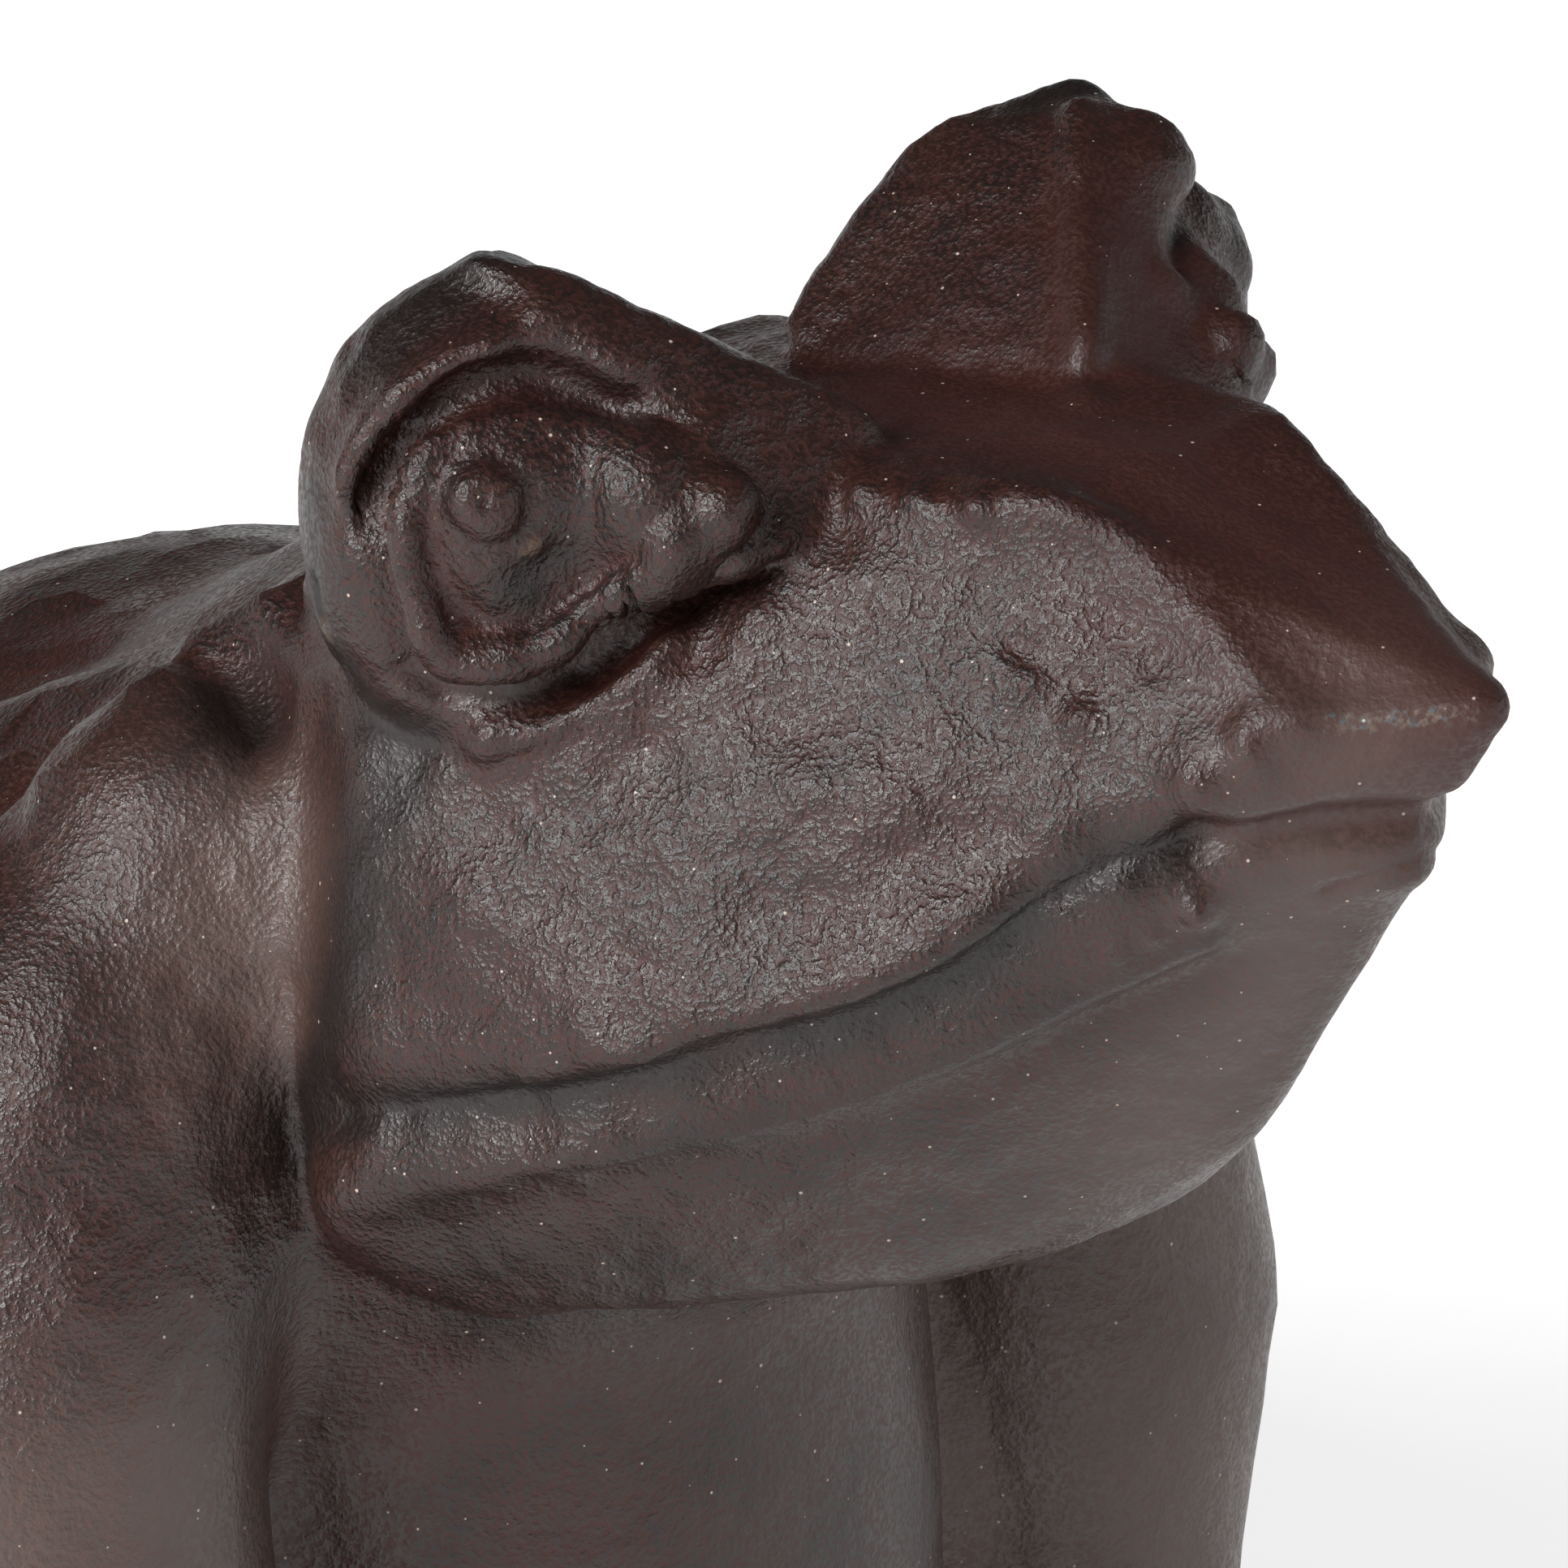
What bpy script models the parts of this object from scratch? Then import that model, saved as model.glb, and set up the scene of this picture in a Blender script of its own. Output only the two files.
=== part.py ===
"""Frog garden figurine, a sitting frog cast in iron as one hollow shell that is open below.

The row frame has +Z up, the frog looks along -Y, and its left side is +X. Sizes are millimetres.
Sculpting points are (side, forward, up): side from the middle plane, forward from the eyes, up from the ground.
"""

import math

import bmesh
import bpy
import numpy as np
from mathutils import Matrix, Vector

MM = 0.001

# Height of the brows over the ground, which every point of the head is measured from
BROW_HEIGHT = 104.0
# Forward place of the rump, which the belly and the hind legs go with and which sets the length
RUMP_FORWARD = -74.0
# Side place of the knees, which sets the width over the hind feet, and of the elbows
KNEE_SIDE = 40.0
ELBOW_SIDE = 33.4
# Half the width of the belly
BELLY_RADIUS = 40.0
# Thickness of the cast shell over the hollow
WALL = 4.5

# Sculpting grid, and the share of its facets that the casting keeps
FORM_VOXEL = 0.8
FACET_BUDGET = 10600
HOLLOW_BUDGET = 900

# Lines on the left half of the head as (side, forward, below the brow); the right half mirrors them
MOUTH_FRONT = [(0, 38.9, 20.8), (4.5, 36.8, 21.0), (7.3, 32.6, 21.2)]
MOUTH = [(8.5, 31.8, 21.9), (10.2, 29.6, 22.8), (12.1, 27.6, 24.7), (14.5, 24.7, 28.2), (17.5, 20.1, 31.3),
         (20.9, 15.6, 33.1), (23.8, 10, 35.2), (25.9, 1.7, 37.7), (27, -2.5, 39)]
LOWER_LIP = [(6.5, 31.7, 26.9), (8.7, 29.8, 28.3), (12.3, 24.9, 31.6), (15.7, 19.9, 34.7), (19.2, 15.4, 36.7),
             (23.6, 9.7, 38.6), (26.3, 2.1, 41.6), (26.4, -2, 43)]
JAW_FOLD = [(6, 32.5, 28.5), (10.5, 26.5, 31.8), (16, 20, 35), (21, 11, 39.5), (25.5, 1, 44.5)]
LID = [(25.7, 2.4, 7.2), (26.1, 2.4, 9.7), (26.2, 2.8, 12.5), (25.6, 3.1, 15.4), (24.8, 4, 16.9), (23.5, 6.3, 16.8),
       (21.9, 7.6, 15.9), (19.9, 9.1, 14.4), (18.6, 10.3, 12.3), (17.2, 10.9, 11), (16.3, 11.4, 9.6)]
LID_GROOVE = [(26.5, 1.4, 7.2), (26.5, 1, 10.3), (26.4, 1.6, 13.9), (25.6, 2, 17.3), (25, 3.2, 18.4), (23.3, 6.6, 17.9),
              (20.9, 8.1, 17.7), (19.2, 10.4, 14.6), (17.4, 11.3, 12.5), (16.3, 12.5, 11.1)]
BROW_FOLD = [(27.2, 0, 9.2), (26.9, 0.1, 7.4), (25.7, 0.6, 5.7), (24.1, 1.9, 3.9), (22, 2.9, 2.9), (19.9, 4, 1.9)]
BROW_VALLEY = [(26.8, 0.7, 8.8), (26.4, 1, 6.2), (25.1, 2.5, 4.7), (22.8, 4.1, 3.4), (20.3, 5.6, 4.3),
               (18.1, 7.4, 5.2), (16.2, 9.7, 6)]
CHEEK_FOLD = [(22.3, 3.4, 20.9), (20.7, 5.9, 20.1), (19.2, 8.6, 18.4), (18.3, 11, 15), (16.8, 12.3, 12.6),
              (15.6, 13.2, 10.1)]
LOWER_CHEEK_FOLD = [(24.2, 2.3, 22.2), (23.2, 5.3, 21.8), (21.8, 8, 20.9), (19.5, 10.7, 18.5), (17.8, 12.5, 16.7),
                    (15.9, 13.6, 14.4)]
CANTHUS = [(10.5, 15, 9.3), (10.1, 18.5, 9.1), (8.2, 22.5, 8.8), (6.2, 26, 9.7), (6.2, 29.5, 11.4), (5.8, 36, 16)]
SNOUT_EDGE = [(5.8, 36, 16), (3.4, 39.4, 15.6), (1, 41.8, 15.2)]
BACK_FOLD = [(14, -15, 20), (17, -22, 26.5), (20, -33, 33), (22, -48, 40)]


def clear_scene():
    for obj in list(bpy.data.objects):
        bpy.data.objects.remove(obj)


def at(side, forward, up):
    """A sculpting point in the row frame, in metres."""
    return Vector((side, -forward, up)) * MM


def on_head(side, forward, below_brow):
    """A point of the head, with its height counted down from the top of the brows."""
    return at(side, forward, BROW_HEIGHT - below_brow)


def both_sides(points):
    return [Vector((sign * p.x, p.y, p.z)) for p in points for sign in (1, -1)]


def mesh_object(name, bm):
    mesh = bpy.data.meshes.new(name)
    bm.to_mesh(mesh)
    bm.free()
    obj = bpy.data.objects.new(name, mesh)
    bpy.context.scene.collection.objects.link(obj)
    return obj


def hull(name, points):
    """The smallest convex solid that holds the points."""
    bm = bmesh.new()
    for point in points:
        bm.verts.new(point)
    bmesh.ops.convex_hull(bm, input=bm.verts)
    loose = [v for v in bm.verts if not v.link_faces]
    bmesh.ops.delete(bm, geom=loose, context="VERTS")
    return mesh_object(name, bm)


def ellipsoid(name, centre, radii, turn=(0, 0, 0)):
    """An ellipsoid with radii (side, forward, up) in mm, turned by degrees about X, Y and Z."""
    bm = bmesh.new()
    bmesh.ops.create_icosphere(bm, subdivisions=4, radius=1.0)
    spin = Matrix.Rotation(math.radians(turn[2]), 4, "Z") @ Matrix.Rotation(math.radians(turn[1]), 4, "Y")
    spin = spin @ Matrix.Rotation(math.radians(turn[0]), 4, "X")
    size = Matrix.Diagonal((*[r * MM for r in radii], 1.0))
    bm.transform(Matrix.Translation(centre) @ spin @ size)
    return mesh_object(name, bm)


def ellipsoid_pair(name, centre, radii, turn=(0, 0, 0)):
    """The ellipsoid on the frog's left and its mirror image on the right."""
    mirrored = Vector((-centre.x, centre.y, centre.z))
    left = ellipsoid(name, centre, radii, turn)
    right = ellipsoid(name, mirrored, radii, (turn[0], -turn[1], -turn[2]))
    return [left, right]


def limb(name, points, radii):
    """A round limb: each stretch is the hull of the balls at its two ends."""
    stretches = []
    for start, end, start_radius, end_radius in zip(points, points[1:], radii, radii[1:]):
        bm = bmesh.new()
        for centre, radius in ((start, start_radius), (end, end_radius)):
            bmesh.ops.create_icosphere(
                bm, subdivisions=3, radius=radius * MM, matrix=Matrix.Translation(centre)
            )
        bmesh.ops.convex_hull(bm, input=bm.verts)
        inner = [v for v in bm.verts if not v.link_faces]
        bmesh.ops.delete(bm, geom=inner, context="VERTS")
        stretches.append(mesh_object(name, bm))
    return stretches


def limb_pair(name, points, radii):
    mirrored = [Vector((-p.x, p.y, p.z)) for p in points]
    return limb(name, points, radii) + limb(name, mirrored, radii)


def fuse(name, pieces, voxel, relax_radius):
    """Joins the pieces into one skin on a voxel grid, then relaxes it over about relax_radius mm."""
    bm = bmesh.new()
    for piece in pieces:
        bm.from_mesh(piece.data)
        bpy.data.objects.remove(piece)
    obj = mesh_object(name, bm)
    remesh = obj.modifiers.new("remesh", "REMESH")
    remesh.mode = "VOXEL"
    remesh.voxel_size = voxel * MM
    relax = obj.modifiers.new("relax", "SMOOTH")
    relax.factor = 0.5
    relax.iterations = max(1, round(2 * (relax_radius / voxel) ** 2))
    graph = bpy.context.evaluated_depsgraph_get()
    mesh = bpy.data.meshes.new_from_object(obj.evaluated_get(graph))
    obj.modifiers.clear()
    obj.data = mesh
    return obj


def head():
    """The head: a wedge with flat planes, narrow at the snout, and two high eye mounds."""
    skull = [
        on_head(0.0, 43.1, 14.9),  # snout tip
        on_head(5.5, 36.4, 16.0),  # snout corner
        on_head(4.8, 32.2, 13.0),  # canthus
        on_head(6.4, 27.0, 10.8),
        on_head(7.6, 22.5, 8.0),
        on_head(0.0, 38.6, 20.5),  # upper lip, front
        on_head(8.3, 31.6, 21.3),  # upper lip
        on_head(16.5, 25.0, 27.3),
        on_head(24.5, 13.5, 33.0),
        on_head(28.0, 0.0, 38.5),  # mouth corner
        on_head(27.3, -3.0, 40.5),
        on_head(24.6, -3.0, 22.0),  # cheek behind the eye
        on_head(15.2, 13.0, 14.8),  # cheek in front of the eye
        on_head(1.2, 37.8, 23.4),  # lower lip
        on_head(2.5, 35.8, 25.3),
        on_head(3.0, 31.0, 32.0),
        on_head(0.0, 33.4, 31.8),
        on_head(0.0, 28.6, 39.9),  # chin
        on_head(4.0, 24.8, 40.5),
        on_head(9.0, 18.5, 47.0),
        on_head(22.0, 1.0, 50.5),  # jaw angle
        on_head(26.3, -3.5, 46.0),
        on_head(18.0, -12.0, 49.0),
        on_head(17.0, -14.0, 18.0),
        on_head(11.0, -13.0, 12.5),  # nape
        on_head(10.0, 8.0, 9.5),
    ]
    mound = [
        on_head(19.8, -0.4, -0.1),  # top of the brow
        on_head(18.6, 4.2, 1.4),
        on_head(16.5, 3.5, 0.9),
        on_head(11.6, 7.4, 4.6),  # spur that runs down to the canthus
        on_head(6.5, 12.5, 7.6),
        on_head(13.5, -5.0, 2.2),  # back of the brow
        on_head(12.0, -8.0, 7.5),
        on_head(19.5, -7.0, 7.5),
        on_head(3.5, -5.0, 10.4),  # foot of the inner slope
        on_head(4.5, 10.0, 10.4),
        on_head(19.0, 7.0, 6.5),  # front of the brow, over the eye
        on_head(14.5, 14.0, 12.0),
        on_head(20.6, 8.4, 14.2),
        on_head(17.8, 11.6, 11.4),
    ]
    pieces = [hull("skull", both_sides(skull)), hull("left_mound", mound)]
    pieces.append(hull("right_mound", [Vector((-p.x, p.y, p.z)) for p in mound]))
    pieces += ellipsoid_pair("eye_dome", on_head(18.0, -0.6, 12.5), (8.6, 8.6, 11.2))
    return fuse("head", pieces, FORM_VOXEL, 0.8)


def torso():
    """The trunk with the neck, as one soft mass that widens to the belly and the rump."""
    pieces = [
        ellipsoid("belly", at(0, RUMP_FORWARD + 18, 33), (BELLY_RADIUS, 38, 33)),
        ellipsoid("back", at(0, -38, 44), (34, 32, 31.5), (25, 0, 0)),
        ellipsoid("chest", at(0, -19, 30), (22, 20, 42)),
        ellipsoid("neck", at(0, -18, 62), (26, 23, 21)),
        ellipsoid("nape", on_head(0, -11, 36), (25.5, 15, 21)),
        ellipsoid("rump", at(0, RUMP_FORWARD, 20), (BELLY_RADIUS - 10, 27, 26)),
        ellipsoid("underside", at(0, RUMP_FORWARD + 20, 12), (BELLY_RADIUS - 3, 37, 24)),
        ellipsoid("breast", at(0, -20, 9), (27, 18, 22)),
        *ellipsoid_pair("shoulder", at(18, -24, 58), (14, 18, 19)),
    ]
    return fuse("torso", pieces, 2.0, 7.0)


def toes(name, ball, turns, reach, radii):
    """Toes with round tips, spread from the ball of the foot by the turns in degrees."""
    pieces = []
    for turn in turns:
        direction = Vector((math.sin(math.radians(turn)), -math.cos(math.radians(turn)), 0)) * MM
        pieces += limb_pair(name, [ball, ball + direction * reach * 0.55, ball + direction * reach], radii)
    return pieces


def forelegs():
    """Two stout forelegs, upright under the shoulders, with four short toes each."""
    elbow = ELBOW_SIDE
    shoulder = [at(elbow - 6.4, -20, 61), at(elbow - 0.8, -16.5, 49), at(elbow, -15, 35)]
    forearm = [at(elbow - 0.9, -14, 23), at(elbow - 4.4, -9, 9), at(elbow - 5.4, -8, 4)]
    upper = limb_pair("foreleg", shoulder + forearm, [13, 10.5, 11.2, 9.6, 7.5, 7.5])
    armpit = ellipsoid_pair("armpit", at(elbow - 10, -18, 28), (6, 8, 15))
    return upper + armpit + toes("toe", at(elbow - 5.4, -7, 2.5), (-35, -5, 25, 55), 18, [5.5, 3.4, 3.8])


def hind_legs():
    """Two folded hind legs, the thigh along the flank and the long foot flat on the ground."""
    knee, rump = KNEE_SIDE, RUMP_FORWARD
    thigh_line = [at(knee - 16, rump - 2, 24), at(knee - 5, rump + 12, 30), at(knee, rump + 27, 33)]
    shin_line = [at(knee + 1, rump + 27, 30), at(knee + 3, rump + 8, 17), at(knee, rump - 9, 8)]
    foot_line = [at(knee, rump - 9, 4), at(knee + 2.5, rump + 10, 3.5), at(knee + 4, rump + 21, 3)]
    thigh = limb_pair("thigh", thigh_line, [18, 15.5, 11.5])
    shin = limb_pair("shin", shin_line, [10.5, 9.5, 8.5])
    foot = limb_pair("foot", foot_line, [8.5, 7.5, 6.2])
    flank = ellipsoid_pair("flank", at(knee - 6, rump + 22, 5), (7, 24, 8.5))
    hind_toes = toes("hind_toe", at(knee + 4, rump + 20, 2.5), (-18, 3, 24), 23, [5.2, 3.4, 3.9])
    return thigh + shin + foot + flank + hind_toes


def skin_points(obj):
    """The points of the skin in the sculpting frame, folded onto the left half, and their normals."""
    count = len(obj.data.vertices)
    points = np.empty(count * 3)
    obj.data.vertices.foreach_get("co", points)
    normals = np.empty(count * 3)
    obj.data.vertex_normals.foreach_get("vector", normals)
    points = points.reshape(-1, 3)
    folded = np.column_stack([np.abs(points[:, 0]), -points[:, 1], points[:, 2]]) / MM
    return points, folded, normals.reshape(-1, 3)


def distance_to_line(points, line):
    """Distance in mm from each point to a broken line."""
    best = np.full(len(points), np.inf)
    for start, end in zip(line[:-1], line[1:]):
        along = end - start
        share = np.clip((points - start) @ along / (along @ along), 0.0, 1.0)
        best = np.minimum(best, np.linalg.norm(points - start - share[:, None] * along, axis=1))
    return best


def on_skin(obj, marks):
    """Head marks moved onto the nearest point of the skin, and a mark halfway between each two."""
    dense = [marks[0]]
    for before, after in zip(marks, marks[1:]):
        dense += [tuple((p + q) / 2 for p, q in zip(before, after)), after]
    snapped = []
    for side, forward, below in dense:
        found, spot, _, _ = obj.closest_point_on_mesh(on_head(side, forward, below))
        snapped.append((spot.x / MM, -spot.y / MM, spot.z / MM) if found else (side, forward, 0.0))
    return np.array(snapped)


def crease(obj, marks, width, height):
    """Raises a soft ridge along the marks on both halves, or cuts a groove where height is negative."""
    line = on_skin(obj, marks)
    points, folded, normals = skin_points(obj)
    rise = height * np.exp(-((distance_to_line(folded, line) / width) ** 2))
    obj.data.vertices.foreach_set("co", (points + normals * (rise * MM)[:, None]).ravel())
    obj.data.update()


def swell(obj, mark, radii, height):
    """Raises a round swelling, or presses a hollow, on both halves round one mark of the head."""
    side, forward, up = on_skin(obj, [mark])[0]
    points, folded, normals = skin_points(obj)
    reach = np.linalg.norm((folded - (side, forward, up)) / np.array(radii), axis=1)
    rise = height * np.exp(-(reach**2))
    obj.data.vertices.foreach_set("co", (points + normals * (rise * MM)[:, None]).ravel())
    obj.data.update()


def sculpt_face(obj):
    """The mouth, the eyes with their folds of skin, the ear discs and the ridges of the snout."""
    crease(obj, CANTHUS, 1.5, 0.5)
    crease(obj, SNOUT_EDGE, 1.2, 0.4)
    swell(obj, (3, 24, 9), (4.5, 12, 6), -0.5)  # shallow dip along the top of the snout
    crease(obj, BROW_VALLEY, 1.2, -0.9)
    crease(obj, BROW_FOLD, 1.1, 0.6)
    crease(obj, LID_GROOVE, 1.2, -1.1)
    crease(obj, LID, 1.1, 1.1)
    crease(obj, CHEEK_FOLD, 1.1, 0.8)
    crease(obj, LOWER_CHEEK_FOLD, 1.3, 0.4)
    swell(obj, (21.6, 7.5, 12.5), (2.6, 2.4, 2.4), -0.9)  # hollow below the pupil
    swell(obj, (24.7, 5.9, 8.7), (2.2, 2.2, 2.1), 0.8)  # pupil
    swell(obj, (18.8, 9.1, 8.7), (2.8, 2.6, 2.4), 1.1)  # front of the eyeball
    swell(obj, (16.1, 12.2, 9.8), (1.4, 1.6, 2.2), 0.6)  # front corner of the lid
    crease(obj, MOUTH_FRONT, 1.6, -0.4)
    crease(obj, MOUTH, 1.7, -1.5)
    crease(obj, LOWER_LIP, 1.2, 0.6)
    crease(obj, JAW_FOLD, 1.8, -0.5)
    swell(obj, (26.2, -2, 44.6), (3.5, 3.5, 3), 1.0)  # lobe at the end of the jaw
    swell(obj, (7.6, 33.2, 17.6), (2.4, 2.4, 2.0), 0.6)  # nostril
    swell(obj, (18.5, -18.5, 28), (4, 4.5, 6), 1.6)  # ear disc
    crease(obj, BACK_FOLD, 2.5, 0.9)


def facet_count(obj):
    return sum(len(p.vertices) - 2 for p in obj.data.polygons)


def apply_modifiers(obj):
    graph = bpy.context.evaluated_depsgraph_get()
    mesh = bpy.data.meshes.new_from_object(obj.evaluated_get(graph))
    obj.modifiers.clear()
    obj.data = mesh


def coarsen(obj, facets):
    """Merges facets where the skin is flat, on the left half only, then mirrors that half."""
    bm = bmesh.new()
    bm.from_mesh(obj.data)
    everything = bm.verts[:] + bm.edges[:] + bm.faces[:]
    bmesh.ops.bisect_plane(bm, geom=everything, plane_co=(0, 0, 0), plane_no=(-1, 0, 0), clear_outer=True)
    bm.to_mesh(obj.data)
    bm.free()
    reduce = obj.modifiers.new("coarsen", "DECIMATE")
    reduce.ratio = facets / 2 / facet_count(obj)
    apply_modifiers(obj)
    bm = bmesh.new()
    bm.from_mesh(obj.data)
    for vert in bm.verts:
        if vert.is_boundary:
            vert.co.x = 0.0
    everything = bm.verts[:] + bm.edges[:] + bm.faces[:]
    bmesh.ops.mirror(bm, geom=everything, merge_dist=0.01 * MM, axis="X")
    bmesh.ops.recalc_face_normals(bm, faces=bm.faces)
    bm.to_mesh(obj.data)
    bm.free()


def cut_away(obj, cutter):
    """Takes the cutter out of the body."""
    cut = obj.modifiers.new("cut", "BOOLEAN")
    cut.operation = "DIFFERENCE"
    cut.solver = "EXACT"
    cut.object = cutter
    apply_modifiers(obj)
    bpy.data.objects.remove(cutter)


def ground():
    """A block that fills everything below the ground."""
    bm = bmesh.new()
    size = Matrix.Diagonal((0.3, 0.3, 0.1, 1.0))
    bmesh.ops.create_cube(bm, size=1.0, matrix=Matrix.Translation((0, 0.03, -0.05)) @ size)
    return mesh_object("ground", bm)


def hollow():
    """The open space inside the casting, the trunk drawn in by the wall all round."""
    pieces = [
        ellipsoid("belly", at(0, RUMP_FORWARD + 18, 32), (BELLY_RADIUS - WALL, 38 - WALL, 32 - WALL)),
        ellipsoid("back", at(0, -38, 43), (31 - WALL, 28 - WALL, 29 - WALL), (25, 0, 0)),
        ellipsoid("chest", at(0, -22, 24), (20 - WALL, 19 - WALL, 38 - WALL)),
        ellipsoid("neck", at(0, -16, 62), (21 - WALL, 18 - WALL, 20 - WALL)),
        ellipsoid("jaw", on_head(0, 3, 32), (19 - WALL, 22 - WALL, 17 - WALL)),
        ellipsoid("rump", at(0, RUMP_FORWARD + 2, 20), (BELLY_RADIUS - 11 - WALL, 26 - WALL, 25 - WALL)),
        ellipsoid("underside", at(0, RUMP_FORWARD + 20, 6), (BELLY_RADIUS - 4 - WALL, 36 - WALL, 26 - WALL)),
    ]
    space = fuse("hollow", pieces, 2.0, 3.0)
    coarsen(space, HOLLOW_BUDGET)
    return space


def centre_on_origin(obj):
    """Moves the figurine so that the middle of its box, from nose to rump, is over the row origin."""
    forward = [vert.co.y for vert in obj.data.vertices]
    obj.data.transform(Matrix.Translation((0, -(min(forward) + max(forward)) / 2, 0)))


def paint():
    """Dark brown paint with a soft gloss."""
    material = bpy.data.materials.new("brown_paint")
    material.use_nodes = True
    shader = material.node_tree.nodes["Principled BSDF"]
    shader.inputs["Base Color"].default_value = (0.055, 0.028, 0.022, 1.0)
    shader.inputs["Roughness"].default_value = 0.4
    return material


def main():
    clear_scene()
    pieces = [torso(), head(), *forelegs(), *hind_legs()]
    frog = fuse("frog", pieces, FORM_VOXEL, 0.8)
    sculpt_face(frog)
    coarsen(frog, FACET_BUDGET)
    cut_away(frog, ground())
    cut_away(frog, hollow())
    centre_on_origin(frog)
    frog.data.shade_smooth()
    frog.data.materials.append(paint())
    return frog


main()
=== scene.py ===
"""Looks of a sitting frog garden figurine, sand cast in iron and finished in deep brown paint.

The frame has +Z up, the frog looks along -Y and its left side is +X, in metres. The sculpting marks are
millimetres (side, forward, below the brow), the way the forms of the head were measured. The casting is
modelled once more on a fine grid, with the folds, warts and flaws that the plain solid leaves out.
"""

from __future__ import annotations

import logging
import math
from dataclasses import dataclass
from enum import Enum

import bmesh
import bpy
import numpy as np
from mathutils import Matrix, Vector

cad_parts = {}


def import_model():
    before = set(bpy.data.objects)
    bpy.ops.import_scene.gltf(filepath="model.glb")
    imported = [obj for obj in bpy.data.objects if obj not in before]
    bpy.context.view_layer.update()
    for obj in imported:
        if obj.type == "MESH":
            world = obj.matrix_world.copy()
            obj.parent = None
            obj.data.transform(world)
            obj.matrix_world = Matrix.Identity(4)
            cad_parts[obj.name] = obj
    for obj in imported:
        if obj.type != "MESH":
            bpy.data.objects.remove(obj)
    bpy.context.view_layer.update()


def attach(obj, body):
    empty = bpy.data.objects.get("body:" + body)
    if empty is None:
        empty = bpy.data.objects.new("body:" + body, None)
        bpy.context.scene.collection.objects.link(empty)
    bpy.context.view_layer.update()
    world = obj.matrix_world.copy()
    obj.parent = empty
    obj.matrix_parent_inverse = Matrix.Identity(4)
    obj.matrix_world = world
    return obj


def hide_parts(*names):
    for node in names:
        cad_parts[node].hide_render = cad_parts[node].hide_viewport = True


LOG = logging.getLogger("frog")
MM = 0.001
Mark = tuple[float, float, float]


class Side(Enum):
    """The half of the frog that a stroke works on."""

    BOTH = 0
    LEFT = 1
    RIGHT = -1


@dataclass(frozen=True)
class Crease:
    """A soft ridge along a line of marks, or a groove where the height is negative."""

    marks: tuple[Mark, ...]
    width: float
    height: float
    side: Side = Side.BOTH


@dataclass(frozen=True)
class Swelling:
    """A round swelling at one mark, or a hollow where the height is negative."""

    mark: Mark
    radii: Mark
    height: float
    side: Side = Side.BOTH


class Blocks:
    """Closed blocks that the forms are put together from."""

    @staticmethod
    def mesh_object(name: str, bm: bmesh.types.BMesh) -> bpy.types.Object:
        """Puts a bmesh into the scene as an object.

        Args:
            name: name of the new object.
            bm: the bmesh, freed afterwards.

        Returns:
            The new object, at the origin.
        """
        mesh = bpy.data.meshes.new(name)
        bm.to_mesh(mesh)
        bm.free()
        obj = bpy.data.objects.new(name, mesh)
        bpy.context.scene.collection.objects.link(obj)
        return obj

    @classmethod
    def hull(cls, points: list[Vector]) -> bpy.types.Object:
        """The smallest convex solid that holds the points.

        Args:
            points: its outer points in metres.

        Returns:
            The solid.
        """
        bm = bmesh.new()
        for point in points:
            bm.verts.new(point)
        bmesh.ops.convex_hull(bm, input=bm.verts)
        loose = [v for v in bm.verts if not v.link_faces]
        bmesh.ops.delete(bm, geom=loose, context="VERTS")
        return cls.mesh_object("block", bm)

    @classmethod
    def ellipsoid(cls, centre: Vector, radii: Mark, lean: float = 0.0) -> bpy.types.Object:
        """An ellipsoid.

        Args:
            centre: its middle in metres.
            radii: side, forward and up in millimetres.
            lean: turn about the side axis in degrees.

        Returns:
            The solid.
        """
        bm = bmesh.new()
        bmesh.ops.create_icosphere(bm, subdivisions=5, radius=1.0)
        size = Matrix.Diagonal((*[r * MM for r in radii], 1.0))
        bm.transform(Matrix.Translation(centre) @ Matrix.Rotation(math.radians(lean), 4, "X") @ size)
        return cls.mesh_object("block", bm)

    @classmethod
    def limb(cls, points: list[Vector], radii: list[float]) -> list[bpy.types.Object]:
        """A round limb: each stretch is the hull of the balls at its two ends.

        Args:
            points: the middle line of the limb in metres.
            radii: the radius at each of its points in millimetres.

        Returns:
            One solid for each stretch.
        """
        stretches = []
        for start, end, first, last in zip(points, points[1:], radii, radii[1:]):
            bm = bmesh.new()
            for centre, radius in ((start, first), (end, last)):
                place = Matrix.Translation(centre)
                bmesh.ops.create_icosphere(bm, subdivisions=4, radius=radius * MM, matrix=place)
            bmesh.ops.convex_hull(bm, input=bm.verts)
            inner = [v for v in bm.verts if not v.link_faces]
            bmesh.ops.delete(bm, geom=inner, context="VERTS")
            stretches.append(cls.mesh_object("stretch", bm))
        return stretches


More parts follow.
